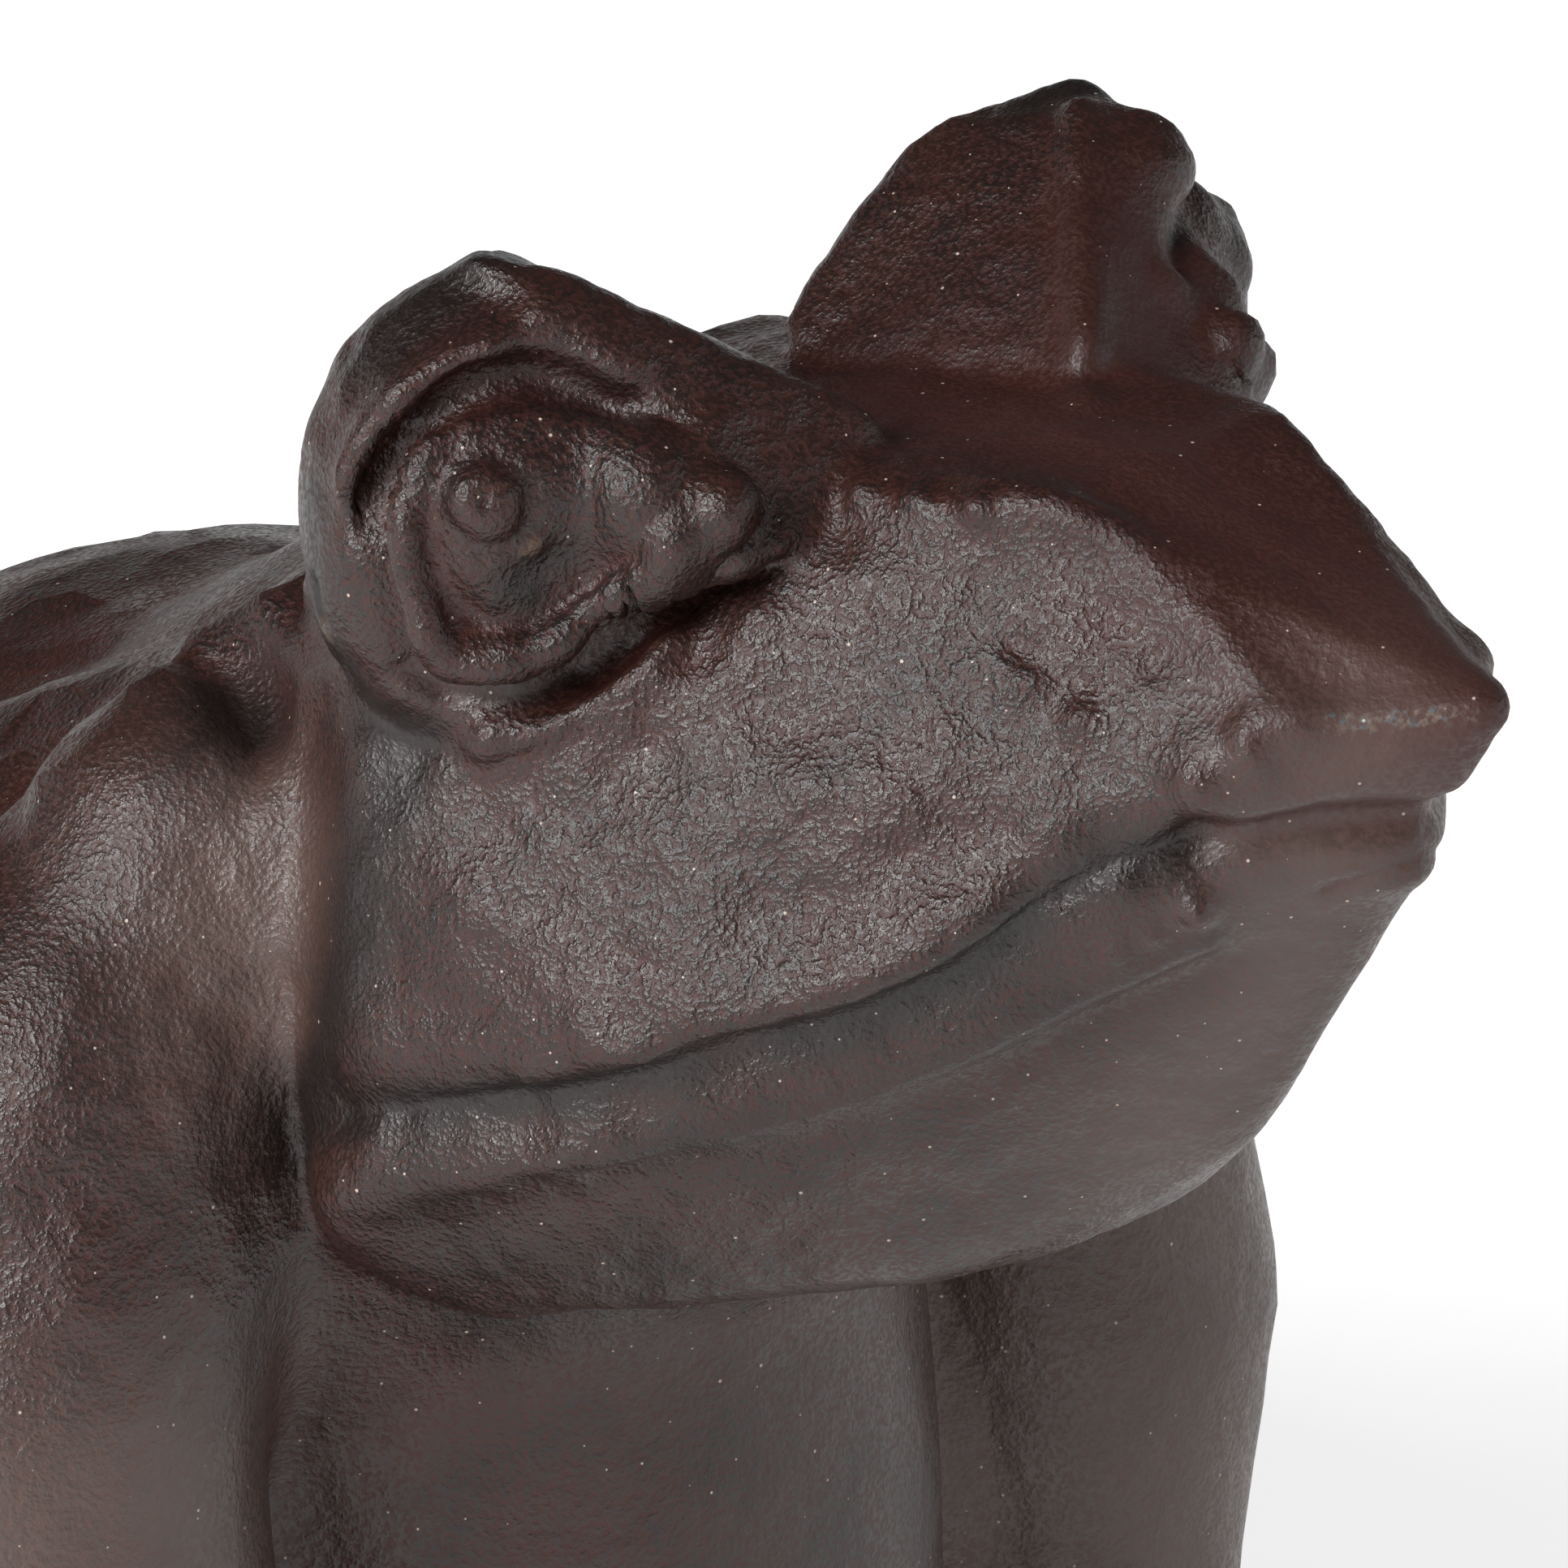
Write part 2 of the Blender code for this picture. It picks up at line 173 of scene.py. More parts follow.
class Skin:
    """The skin of the casting while it is sculpted."""

    def __init__(self, obj: bpy.types.Object, brow_height: float, middle_forward: float) -> None:
        """Takes over an object whose points are still in the sculpting frame.

        Args:
            obj: the object.
            brow_height: height of the brows over the ground in millimetres.
            middle_forward: forward place of the middle of the figurine in millimetres.
        """
        self.obj = obj
        self.brow_height = brow_height
        self.middle_forward = middle_forward

    def read(self) -> tuple[np.ndarray, np.ndarray, np.ndarray]:
        """Reads the skin.

        Returns:
            The points in metres, the points as marks with their own side sign, and the normals.
        """
        count = len(self.obj.data.vertices)
        points = np.empty(count * 3)
        self.obj.data.vertices.foreach_get("co", points)
        normals = np.empty(count * 3)
        self.obj.data.vertex_normals.foreach_get("vector", normals)
        points = points.reshape(-1, 3)
        forward = self.middle_forward - points[:, 1] / MM
        marks = np.column_stack([points[:, 0] / MM, forward, self.brow_height - points[:, 2] / MM])
        return points, marks, normals.reshape(-1, 3)

    def push(self, points: np.ndarray, normals: np.ndarray, rise: np.ndarray) -> None:
        """Moves the points out along their normals by rise millimetres."""
        self.obj.data.vertices.foreach_set("co", (points + normals * (rise * MM)[:, None]).ravel())
        self.obj.data.update()

    def place(self, side: float, forward: float, below: float) -> Vector:
        """A mark of the head in metres."""
        return Vector((side, self.middle_forward - forward, self.brow_height - below)) * MM

    @staticmethod
    def folded(marks: np.ndarray, side: Side) -> np.ndarray:
        """Folds the marks onto the left half, and moves the half that is left alone far away.

        Args:
            marks: marks with their own side sign.
            side: the half to work on.

        Returns:
            The folded marks.
        """
        out = marks.copy()
        if side is not Side.BOTH:
            out[:, 0] = np.where(marks[:, 0] * side.value > 0, np.abs(marks[:, 0]), 1e4)
        out[:, 0] = np.abs(out[:, 0])
        return out

    def snapped(self, marks: tuple[Mark, ...], side: Side) -> np.ndarray:
        """Moves marks onto the skin, with one more halfway between each two.

        Args:
            marks: marks on the left half.
            side: the half whose skin is used.

        Returns:
            The marks on the skin, folded onto the left half.
        """
        dense = [marks[0]]
        for before, after in zip(marks, marks[1:]):
            dense += [tuple((p + q) / 2 for p, q in zip(before, after)), after]
        sign = -1.0 if side is Side.RIGHT else 1.0
        out = []
        for across, forward, below in dense:
            target = self.place(sign * across, forward, below)
            found, spot, _, _ = self.obj.closest_point_on_mesh(target)
            spot = spot if found else target
            out.append((abs(spot.x) / MM, self.middle_forward - spot.y / MM, self.brow_height - spot.z / MM))
        return np.array(out)

    @staticmethod
    def gap_to_line(marks: np.ndarray, line: np.ndarray, reach: float = 9.0) -> np.ndarray:
        """Distance in millimetres from each mark to a broken line.

        Args:
            marks: the marks.
            line: the corners of the line.
            reach: marks further off than this are not measured.

        Returns:
            One distance for each mark.
        """
        best = np.full(len(marks), 1e3)
        low = line.min(axis=0) - reach
        high = line.max(axis=0) + reach
        near = np.flatnonzero(((marks > low) & (marks < high)).all(axis=1))
        if len(near) == 0 or len(line) == 1:
            best[near] = np.linalg.norm(marks[near] - line[0], axis=1)
            return best
        local = marks[near]
        gap = np.full(len(near), 1e3)
        for start, end in zip(line[:-1], line[1:]):
            along = end - start
            share = np.clip((local - start) @ along / max(along @ along, 1e-9), 0.0, 1.0)
            gap = np.minimum(gap, np.linalg.norm(local - start - share[:, None] * along, axis=1))
        best[near] = gap
        return best

    def crease(self, stroke: Crease) -> None:
        """Raises or cuts one line."""
        line = self.snapped(stroke.marks, stroke.side)
        points, marks, normals = self.read()
        gap = self.gap_to_line(self.folded(marks, stroke.side), line)
        self.push(points, normals, stroke.height * np.exp(-((gap / stroke.width) ** 2)))

    def swell(self, stroke: Swelling) -> None:
        """Raises or presses one round place."""
        centre = self.snapped((stroke.mark,), stroke.side)[0]
        points, marks, normals = self.read()
        offset = (self.folded(marks, stroke.side) - centre) / np.array(stroke.radii)
        self.push(points, normals, stroke.height * np.exp(-(offset**2).sum(axis=1)))

    def evened(self, points: np.ndarray, rounds: int) -> np.ndarray:
        """The skin after it is relaxed.

        Args:
            points: its points.
            rounds: how many times each point moves halfway to its neighbours.

        Returns:
            The moved points.
        """
        mesh = self.obj.data
        ends = np.empty(len(mesh.edges) * 2, dtype=np.int64)
        mesh.edges.foreach_get("vertices", ends)
        ends = ends.reshape(-1, 2)
        count = len(points)
        neighbours = np.bincount(ends.ravel(), minlength=count).clip(1)
        even = points.copy()
        for _ in range(rounds):
            total = np.empty_like(even)
            for axis in range(3):
                total[:, axis] = np.bincount(ends[:, 0], even[ends[:, 1], axis], count)
                total[:, axis] += np.bincount(ends[:, 1], even[ends[:, 0], axis], count)
            even = 0.5 * even + 0.5 * total / neighbours[:, None]
        return even

    def store(self, name: str, values: np.ndarray) -> None:
        """Keeps one number for each point of the skin under a name."""
        layer = self.obj.data.attributes.new(name, "FLOAT", "POINT")
        layer.data.foreach_set("value", values.astype(np.float32))

    def group(self, name: str, weights: np.ndarray) -> None:
        """Makes a vertex group with weights rounded to tenths.

        Args:
            name: name of the group.
            weights: a weight from 0 to 1 for each point.
        """
        group = self.obj.vertex_groups.new(name=name)
        tenths = np.round(weights * 10).astype(int)
        for tenth in range(1, 11):
            group.add(np.flatnonzero(tenths == tenth).tolist(), tenth / 10, "REPLACE")

    def soften(self, weights: np.ndarray, rounds: int) -> None:
        """Relaxes part of the skin.

        Args:
            weights: how much each point takes part, from 0 to 1.
            rounds: how many times each point moves halfway to its neighbours.
        """
        self.group("soft", weights)
        relax = self.obj.modifiers.new("soften", "SMOOTH")
        relax.factor = 0.5
        relax.iterations = rounds
        relax.vertex_group = "soft"
        bake_modifiers(self.obj)

    def lumps(self, size: float, height: float, group: str) -> None:
        """Uneven lumps as hand modelling leaves them.

        Args:
            size: width of a lump in millimetres.
            height: height of the highest in millimetres.
            group: the vertex group that they are worked into.
        """
        texture = bpy.data.textures.new("lumps", "CLOUDS")
        texture.noise_scale = size * MM
        texture.noise_depth = 1
        shove = self.obj.modifiers.new("lumps", "DISPLACE")
        shove.texture = texture
        shove.texture_coords = "LOCAL"
        shove.strength = 2 * height * MM
        shove.mid_level = 0.5
        shove.vertex_group = group
        bake_modifiers(self.obj)
        bpy.data.textures.remove(texture)


def bake_modifiers(obj: bpy.types.Object) -> None:
    """Turns the object's modifiers into plain mesh."""
    graph = bpy.context.evaluated_depsgraph_get()
    mesh = bpy.data.meshes.new_from_object(obj.evaluated_get(graph))
    obj.modifiers.clear()
    obj.data = mesh


def triangle_count(obj: bpy.types.Object) -> int:
    """Number of triangles in the object's mesh."""
    return sum(len(p.vertices) - 2 for p in obj.data.polygons)


@dataclass
class Casting:
    """The whole figurine: one hollow iron casting, open below.

    Sizes are millimetres.
    """

    brow_height: float = 104.0
    middle_forward: float = -28.94
    wall: float = 4.5
    voxel: float = 0.4
    triangles: int = 172000

    def at(self, side: float, forward: float, up: float) -> Vector:
        """A point by its height over the ground, in metres."""
        return Vector((side, self.middle_forward - forward, up)) * MM

    def on_head(self, side: float, forward: float, below: float) -> Vector:
        """A point by its depth below the brow, in metres."""
        return self.at(side, forward, self.brow_height - below)

    def mirrored(self, points: list[Vector]) -> list[Vector]:
        """The same points on the other half."""
        return [Vector((-p.x, p.y, p.z)) for p in points]

    def fuse(self, pieces: list[bpy.types.Object], voxel: float, relax: float) -> bpy.types.Object:
        """Joins blocks into one skin on a voxel grid and relaxes it.

        Args:
            pieces: the blocks, used up.
            voxel: width of a grid cell.
            relax: about how far round each point the skin is evened out.

        Returns:
            The joined object.
        """
        bm = bmesh.new()
        for piece in pieces:
            bm.from_mesh(piece.data)
            bpy.data.objects.remove(piece)
        obj = Blocks.mesh_object("casting", bm)
        remesh = obj.modifiers.new("remesh", "REMESH")
        remesh.mode = "VOXEL"
        remesh.voxel_size = voxel * MM
        smooth = obj.modifiers.new("relax", "SMOOTH")
        smooth.factor = 0.5
        smooth.iterations = max(1, round(2 * (relax / voxel) ** 2))
        bake_modifiers(obj)
        return obj

    def head(self) -> bpy.types.Object:
        """The head: a wedge with flat planes, narrow at the snout, and two high eye mounds."""
        skull = [
            (0.0, 43.1, 14.9),
            (5.5, 36.4, 16.0),
            (4.8, 32.2, 13.0),
            (6.4, 27.0, 10.8),
            (7.6, 22.5, 8.0),
            (0.0, 38.6, 20.5),
            (8.3, 31.6, 21.3),
            (16.5, 25.0, 27.3),
            (24.5, 13.5, 33.0),
            (28.0, 0.0, 38.5),
            (27.3, -3.0, 40.5),
            (24.6, -3.0, 22.0),
            (15.2, 13.0, 14.8),
            (1.2, 37.8, 23.4),
            (2.5, 35.8, 25.3),
            (3.0, 31.0, 32.0),
            (0.0, 33.4, 31.8),
            (0.0, 28.6, 39.9),
            (4.0, 24.8, 40.5),
            (9.0, 18.5, 47.0),
            (22.0, 1.0, 50.5),
            (26.3, -3.5, 46.0),
            (18.0, -12.0, 49.0),
            (17.0, -14.0, 18.0),
            (11.0, -13.0, 12.5),
            (10.0, 8.0, 9.5),
        ]
        mound = [
            (19.8, -0.4, -0.1),
            (18.6, 4.2, 1.4),
            (16.5, 3.5, 0.9),
            (11.6, 7.4, 4.6),
            (6.5, 12.5, 7.6),
            (13.5, -5.0, 2.2),
            (12.0, -8.0, 7.5),
            (19.5, -7.0, 7.5),
            (3.5, -5.0, 10.4),
            (4.5, 10.0, 10.4),
            (19.0, 7.0, 6.5),
            (14.5, 14.0, 12.0),
            (20.6, 8.4, 14.2),
            (17.8, 11.6, 11.4),
        ]
        skull_points = [self.on_head(*mark) for mark in skull]
        mound_points = [self.on_head(*mark) for mark in mound]
        eye = self.on_head(18.0, -0.6, 12.5)
        pieces = [
            Blocks.hull(skull_points + self.mirrored(skull_points)),
            Blocks.hull(mound_points),
            Blocks.hull(self.mirrored(mound_points)),
            Blocks.ellipsoid(eye, (8.6, 8.6, 11.2)),
            Blocks.ellipsoid(self.mirrored([eye])[0], (8.6, 8.6, 11.2)),
        ]
        return self.fuse(pieces, self.voxel, 0.8)

    def torso(self) -> bpy.types.Object:
        """The trunk with the neck, as one soft mass that widens to the belly and the rump."""
        pieces = [
            Blocks.ellipsoid(self.at(0, -56, 33), (40, 38, 33)),
            Blocks.ellipsoid(self.at(0, -38, 44), (34, 32, 31.5), 25),
            Blocks.ellipsoid(self.at(0, -19, 30), (22, 20, 42)),
            Blocks.ellipsoid(self.at(0, -18, 62), (26, 23, 21)),
            Blocks.ellipsoid(self.at(0, -11, 68), (25.5, 15, 21)),
            Blocks.ellipsoid(self.at(0, -74, 20), (30, 27, 26)),
            Blocks.ellipsoid(self.at(0, -54, 12), (37, 37, 24)),
            Blocks.ellipsoid(self.at(0, -20, 9), (27, 18, 22)),
            Blocks.ellipsoid(self.at(18, -24, 58), (14, 18, 19)),
            Blocks.ellipsoid(self.at(-18, -24, 58), (14, 18, 19)),
        ]
        return self.fuse(pieces, 1.5, 7.0)

    def limbs(self, spine: list[Mark], radii: list[float]) -> list[bpy.types.Object]:
        """One limb and its mirror image.

        Args:
            spine: points (side, forward, up) of its middle line.
            radii: the radius at each of them.

        Returns:
            The stretches of both limbs.
        """
        points = [self.at(*p) for p in spine]
        return Blocks.limb(points, radii) + Blocks.limb(self.mirrored(points), radii)

    def toes(self, ball: Mark, turns: tuple[int, ...], reach: float, radii: list[float]) -> list[bpy.types.Object]:
        """Toes with round tips on both feet.

        Args:
            ball: where the toes start.
            turns: their directions in degrees outwards.
            reach: length of a toe.
            radii: radius at the root, the middle and the tip.

        Returns:
            The stretches of all toes.
        """
        pieces = []
        for turn in turns:
            across = math.sin(math.radians(turn))
            ahead = math.cos(math.radians(turn))
            spine = [
                (ball[0] + across * reach * share, ball[1] + ahead * reach * share, ball[2])
                for share in (0.0, 0.55, 1.0)
            ]
            pieces += self.limbs(spine, radii)
        return pieces

    def legs(self) -> list[bpy.types.Object]:
        """All four legs with their feet."""
        foreleg = [(27, -20, 61), (32.6, -16.5, 49), (33.4, -15, 35), (32.5, -14, 23), (29, -9, 9), (28, -8, 4)]
        pieces = self.limbs(foreleg, [13, 10.5, 11.2, 9.6, 7.5, 7.5])
        pieces += self.toes((28, -7, 2.5), (-35, -5, 25, 55), 18, [5.5, 3.4, 3.8])
        pieces += self.limbs([(24, -76, 24), (35, -62, 30), (40, -47, 33)], [18, 15.5, 11.5])
        pieces += self.limbs([(41, -47, 30), (43, -66, 17), (40, -83, 8)], [10.5, 9.5, 8.5])
        pieces += self.limbs([(40, -83, 4), (42.5, -64, 3.5), (44, -53, 3)], [8.5, 7.5, 6.2])
        pieces += self.toes((44, -54, 2.5), (-18, 3, 24), 23, [5.2, 3.4, 3.9])
        for sign in (1, -1):
            pieces.append(Blocks.ellipsoid(self.at(sign * 23.5, -16.5, 65), (8.5, 9, 15)))
            pieces.append(Blocks.ellipsoid(self.at(sign * 23.4, -18, 28), (6, 8, 15)))
            pieces.append(Blocks.ellipsoid(self.at(sign * 34, -52, 5), (7, 24, 8.5)))
        return pieces

    def hollow(self) -> bpy.types.Object:
        """The open space inside, the trunk drawn in by the wall all round."""
        wall = self.wall
        pieces = [
            Blocks.ellipsoid(self.at(0, -56, 32), (40 - wall, 38 - wall, 32 - wall)),
            Blocks.ellipsoid(self.at(0, -38, 43), (31 - wall, 28 - wall, 29 - wall), 25),
            Blocks.ellipsoid(self.at(0, -22, 24), (20 - wall, 19 - wall, 38 - wall)),
            Blocks.ellipsoid(self.at(0, -16, 62), (21 - wall, 18 - wall, 20 - wall)),
            Blocks.ellipsoid(self.at(0, 1, 69), (17 - wall, 18 - wall, 14 - wall)),
            Blocks.ellipsoid(self.at(0, -72, 20), (29 - wall, 26 - wall, 25 - wall)),
            Blocks.ellipsoid(self.at(0, -54, 6), (36 - wall, 36 - wall, 26 - wall)),
        ]
        return self.fuse(pieces, 1.5, 3.0)

    def ground(self) -> bpy.types.Object:
        """A block that fills everything below the ground."""
        bm = bmesh.new()
        place = Matrix.Translation((0, 0, -0.05)) @ Matrix.Diagonal((0.3, 0.3, 0.1, 1.0))
        bmesh.ops.create_cube(bm, size=1.0, matrix=place)
        return Blocks.mesh_object("ground", bm)

    def cut_away(self, obj: bpy.types.Object, cutter: bpy.types.Object) -> None:
        """Takes the cutter out of the body."""
        cut = obj.modifiers.new("cut", "BOOLEAN")
        cut.operation = "DIFFERENCE"
        cut.solver = "EXACT"
        cut.object = cutter
        bake_modifiers(obj)
        bpy.data.objects.remove(cutter)

    def thin(self, skin: Skin) -> None:
        """Merges facets behind and below the face, whose fine folds keep them all."""
        _, marks, _ = skin.read()
        behind = np.clip((-8.0 - marks[:, 1]) / 5.0, 0.0, 1.0)
        below = np.clip((marks[:, 2] - 50.0) / 5.0, 0.0, 1.0)
        skin.group("plain", np.maximum(behind, below))
        before = triangle_count(skin.obj)
        merge = skin.obj.modifiers.new("merge", "DECIMATE")
        merge.ratio = min(1.0, self.triangles / before)
        merge.vertex_group = "plain"
        merge.vertex_group_factor = 0.004
        bake_modifiers(skin.obj)
        LOG.info("skin: %d of %d triangles kept", triangle_count(skin.obj), before)

    def build(self, face: "Face") -> bpy.types.Object:
        """Makes the casting.

        Args:
            face: the strokes that shape its skin.

        Returns:
            The finished piece.
        """
        pieces = [self.torso(), self.head(), *self.legs()]
        obj = self.fuse(pieces, self.voxel, 0.8)
        skin = Skin(obj, self.brow_height, self.middle_forward)
        face.sculpt(skin, self.voxel)
        self.thin(skin)
        self.cut_away(obj, self.ground())
        self.cut_away(obj, self.hollow())
        obj.vertex_groups.clear()
        obj.data.shade_smooth()
        obj.name = "frog_casting"
        face.mark_finish(skin)
        return obj


MOUTH_FRONT = ((0, 38.9, 20.8), (4.5, 36.8, 21.0), (7.3, 32.6, 21.2))
MOUTH = ((8.5, 31.8, 21.9), (10.2, 29.6, 22.8), (12.1, 27.6, 24.7), (14.5, 24.7, 28.2), (17.5, 20.1, 31.3),
         (20.9, 15.6, 33.1), (23.8, 10, 35.2), (25.9, 1.7, 37.7), (27, -2.5, 39))
LOWER_LIP = ((6.5, 31.7, 26.9), (8.7, 29.8, 28.3), (12.3, 24.9, 31.6), (15.7, 19.9, 34.7), (19.2, 15.4, 36.7),
             (23.6, 9.7, 38.6), (26.3, 2.1, 41.6), (26.4, -2, 43))
JAW_FOLD = ((6, 32.5, 28.5), (10.5, 26.5, 31.8), (16, 20, 35), (21, 11, 39.5), (25.5, 1, 44.5))
LID = ((25.7, 2.4, 7.2), (26.1, 2.4, 9.7), (26.2, 2.8, 12.5), (25.6, 3.1, 15.4), (24.8, 4, 16.9), (23.5, 6.3, 16.8),
       (21.9, 7.6, 15.9), (19.9, 9.1, 14.4), (18.6, 10.3, 12.3), (17.2, 10.9, 11), (16.3, 11.4, 9.6))
LID_GROOVE = ((26.5, 1.4, 7.2), (26.5, 1, 10.3), (26.4, 1.6, 13.9), (25.6, 2, 17.3), (25, 3.2, 18.4), (23.3, 6.6, 17.9),
              (20.9, 8.1, 17.7), (19.2, 10.4, 14.6), (17.4, 11.3, 12.5), (16.3, 12.5, 11.1))
BROW_FOLD = ((27.2, 0, 9.2), (26.9, 0.1, 7.4), (25.7, 0.6, 5.7), (24.1, 1.9, 3.9), (22, 2.9, 2.9), (19.9, 4, 1.9))
BROW_VALLEY = ((26.8, 0.7, 8.8), (26.4, 1, 6.2), (25.1, 2.5, 4.7), (22.8, 4.1, 3.4), (20.3, 5.6, 4.3),
               (18.1, 7.4, 5.2), (16.2, 9.7, 6))
CHEEK_FOLD = ((22.3, 3.4, 20.9), (20.7, 5.9, 20.1), (19.2, 8.6, 18.4), (18.3, 11, 15), (16.8, 12.3, 12.6),
              (15.6, 13.2, 10.1))
LOWER_CHEEK_FOLD = ((24.2, 2.3, 22.2), (23.2, 5.3, 21.8), (21.8, 8, 20.9), (19.5, 10.7, 18.5), (17.8, 12.5, 16.7),
                    (15.9, 13.6, 14.4))
CANTHUS = ((10.5, 15, 9.3), (10.1, 18.5, 9.1), (8.2, 22.5, 8.8), (6.2, 26, 9.7), (6.2, 29.5, 11.4), (5.8, 36, 16))
BACK_FOLD = ((14, -15, 20), (17, -22, 26.5), (20, -33, 33), (22, -48, 40))
SNOUT_EDGE = ((5.8, 36, 16), (3.4, 39.4, 15.6), (1, 41.8, 15.2))
PUPIL = (24.5, 5.7, 8.8)

# Finer lines of the eye, from the outside in
BROW_CREST = ((26.2, -0.7, 8.9), (25.9, -0.6, 8.0), (25.4, -0.1, 6.8), (24.7, 0.5, 5.6), (24.2, 1.1, 4.8),
              (23.5, 1.8, 4.1), (22.6, 2.4, 3.6), (21.6, 3.1, 3.3))
BROW_HOLLOW = ((26.2, -0.2, 10.6), (25.9, -0.2, 9.6), (25.2, 0, 8.4), (24.5, 0.6, 7.1), (23.7, 1.5, 6), (22.9, 2.2, 5.3),
               (21.7, 3, 4.6), (20.3, 3.9, 4.4), (19.1, 4.8, 4.8), (18.2, 6, 5.5), (17.3, 7.1, 6))
LID_RIM = ((23.5, 3.3, 6), (24.3, 2.9, 6.4), (25.2, 2.5, 7.1), (25.8, 2.3, 8.3), (26.3, 2.5, 9.4), (26.7, 2.9, 10.7),
           (26.6, 2.9, 12), (26.5, 3.3, 13.2), (26.1, 3.8, 14.5), (26, 3.7, 15.3))
LID_SHELF = ((26, 3.7, 15.3), (25.2, 4.5, 16.3), (24.2, 5.6, 16.6), (22.5, 6.2, 16.7), (21.6, 7.4, 16.1), (20.3, 8, 14.9),
             (19.5, 9.2, 13.7), (19.1, 10.6, 12.3), (18.6, 11.4, 11.1))
UNDER_SHELF = ((24.6, 1.2, 17.8), (23.8, 2.2, 18.5), (22.8, 4, 18.7), (21.3, 5.5, 18.5), (19.4, 6.4, 17.8),
               (18.3, 7.5, 16.7), (17.2, 8.6, 15.5), (16.2, 9.4, 14.3))
CHEEK_CREST = ((23, 4.2, 20.3), (22, 5.7, 20), (20.8, 7, 19.3), (19.8, 8.2, 18.4), (18.6, 9.3, 17.1), (17.2, 9.9, 15.6),
               (16.2, 11.9, 12.3))
EYE_VALLEY = ((25, 3.8, 7), (25.6, 3.5, 8.4), (26, 3.7, 10.1), (25.8, 4, 11.9), (25.1, 4.4, 13.7), (24, 5.3, 14.7),
              (22.6, 6.4, 14.6), (21.1, 7.3, 13.8), (19.9, 8.5, 12.6), (19.5, 10.2, 11.6))
PUPIL_RING = ((23.6, 4.8, 7.1), (22.5, 6.4, 8.4), (22.9, 6.2, 10.6), (24.3, 5.2, 11.1), (25.5, 4.1, 9.4), (25, 4.1, 7.6),
              (23.6, 4.8, 7.1))

# Marks of the cheek, the ear and the snout
EAR_RIM = ((16.7, -16.4, 21.6), (18, -20, 23.7), (21.8, -18.5, 26.3), (23.7, -14.8, 29.5))
EAR_FRONT = ((16.7, -16.4, 21.6), (20, -10.3, 22.7), (23.3, -9.9, 29.5))
EAR_MIDDLE = (21.3, -14.6, 25.6)
NECK_RIDGE = ((20.3, -20.7, 25.5), (26.1, -18, 30.3), (33.2, -12.8, 34.4))
SHOULDER_RIDGE = ((23.9, -27.4, 30), (20.2, -20.9, 25.5))
CHEEK_REAR = ((24, -3.6, 19.6), (23.9, 0.1, 21.4), (24.8, -0.7, 24.7), (26.2, -1.5, 30.3), (26.5, -2.9, 36.4),
              (24.6, -6.7, 42.7))
GREY_BAND = ((25.5, -4.2, 10.3), (25.7, -4, 13.9), (24.8, -2.2, 18.6), (23.9, -0.5, 21.1))
NOSTRIL = ((10.7, 24.1, 14.2), (10.3, 26.2, 15.2), (9.6, 28, 15.5), (8.2, 29.6, 14.7), (7.8, 29.5, 13.9))
FRONT_LINE = ((3.2, 35.8, 24.1), (1.8, 37.1, 23.3), (0, 38.1, 22.6))
MOUND_CREASE = ((16.6, 1.9, 1), (10.9, 7.5, 4.7), (3.8, 14.5, 9.1))
JAW_EDGE = ((26.3, -3.5, 46), (22, 1, 50.5), (9, 18.5, 47), (4, 24.8, 40.5))
FAR_EYE = ((22.0, 3.0, 3.0), (20.0, 9.0, 8.0), (18.0, 12.0, 12.0))
SHOULDER = ((25, -12, 34), (27, -16, 44), (30, -14, 56))
FRONT_FACE = ((3, 37, 18), (3.5, 35, 24), (3, 32, 32), (4, 27, 39))
FORELEG = ((27, -20, 43), (32.6, -16.5, 55), (33.4, -15, 69), (32.5, -14, 81))
BEAD = (8.1, 32.8, 25.1)
FLAKE = (25.5, -3.1, 16.4)
TAN_SPOT = (22.4, 6.3, 11.0)
LOBE = (26.2, -2.0, 44.6)


class Layer(Enum):
    """A way in which the finish differs from place to place, painted shade and sheen among them, named as the point
    attribute that keeps it.
    """

    # Painted shade: near black laid into creases, grooves and hollows, under the jaw and on the chest and shoulder
    DARK = "dark"
    SMOOTH = "smooth"
    WORN = "worn"
    TAN = "tan"
    RED = "red"
    # Painted sheen: a lighter colour on the far foreleg, the near neck and arm and the front of the face
    PAINTED_SHEEN = "pale"
    MATTE = "matte"


@dataclass(frozen=True)
class Patch:
    """A place with a finish of its own, or with painted shade or sheen, round one mark or along a line of marks."""

    layer: Layer
    marks: tuple[Mark, ...]
    width: float
    strength: float = 1.0
    side: Side = Side.BOTH


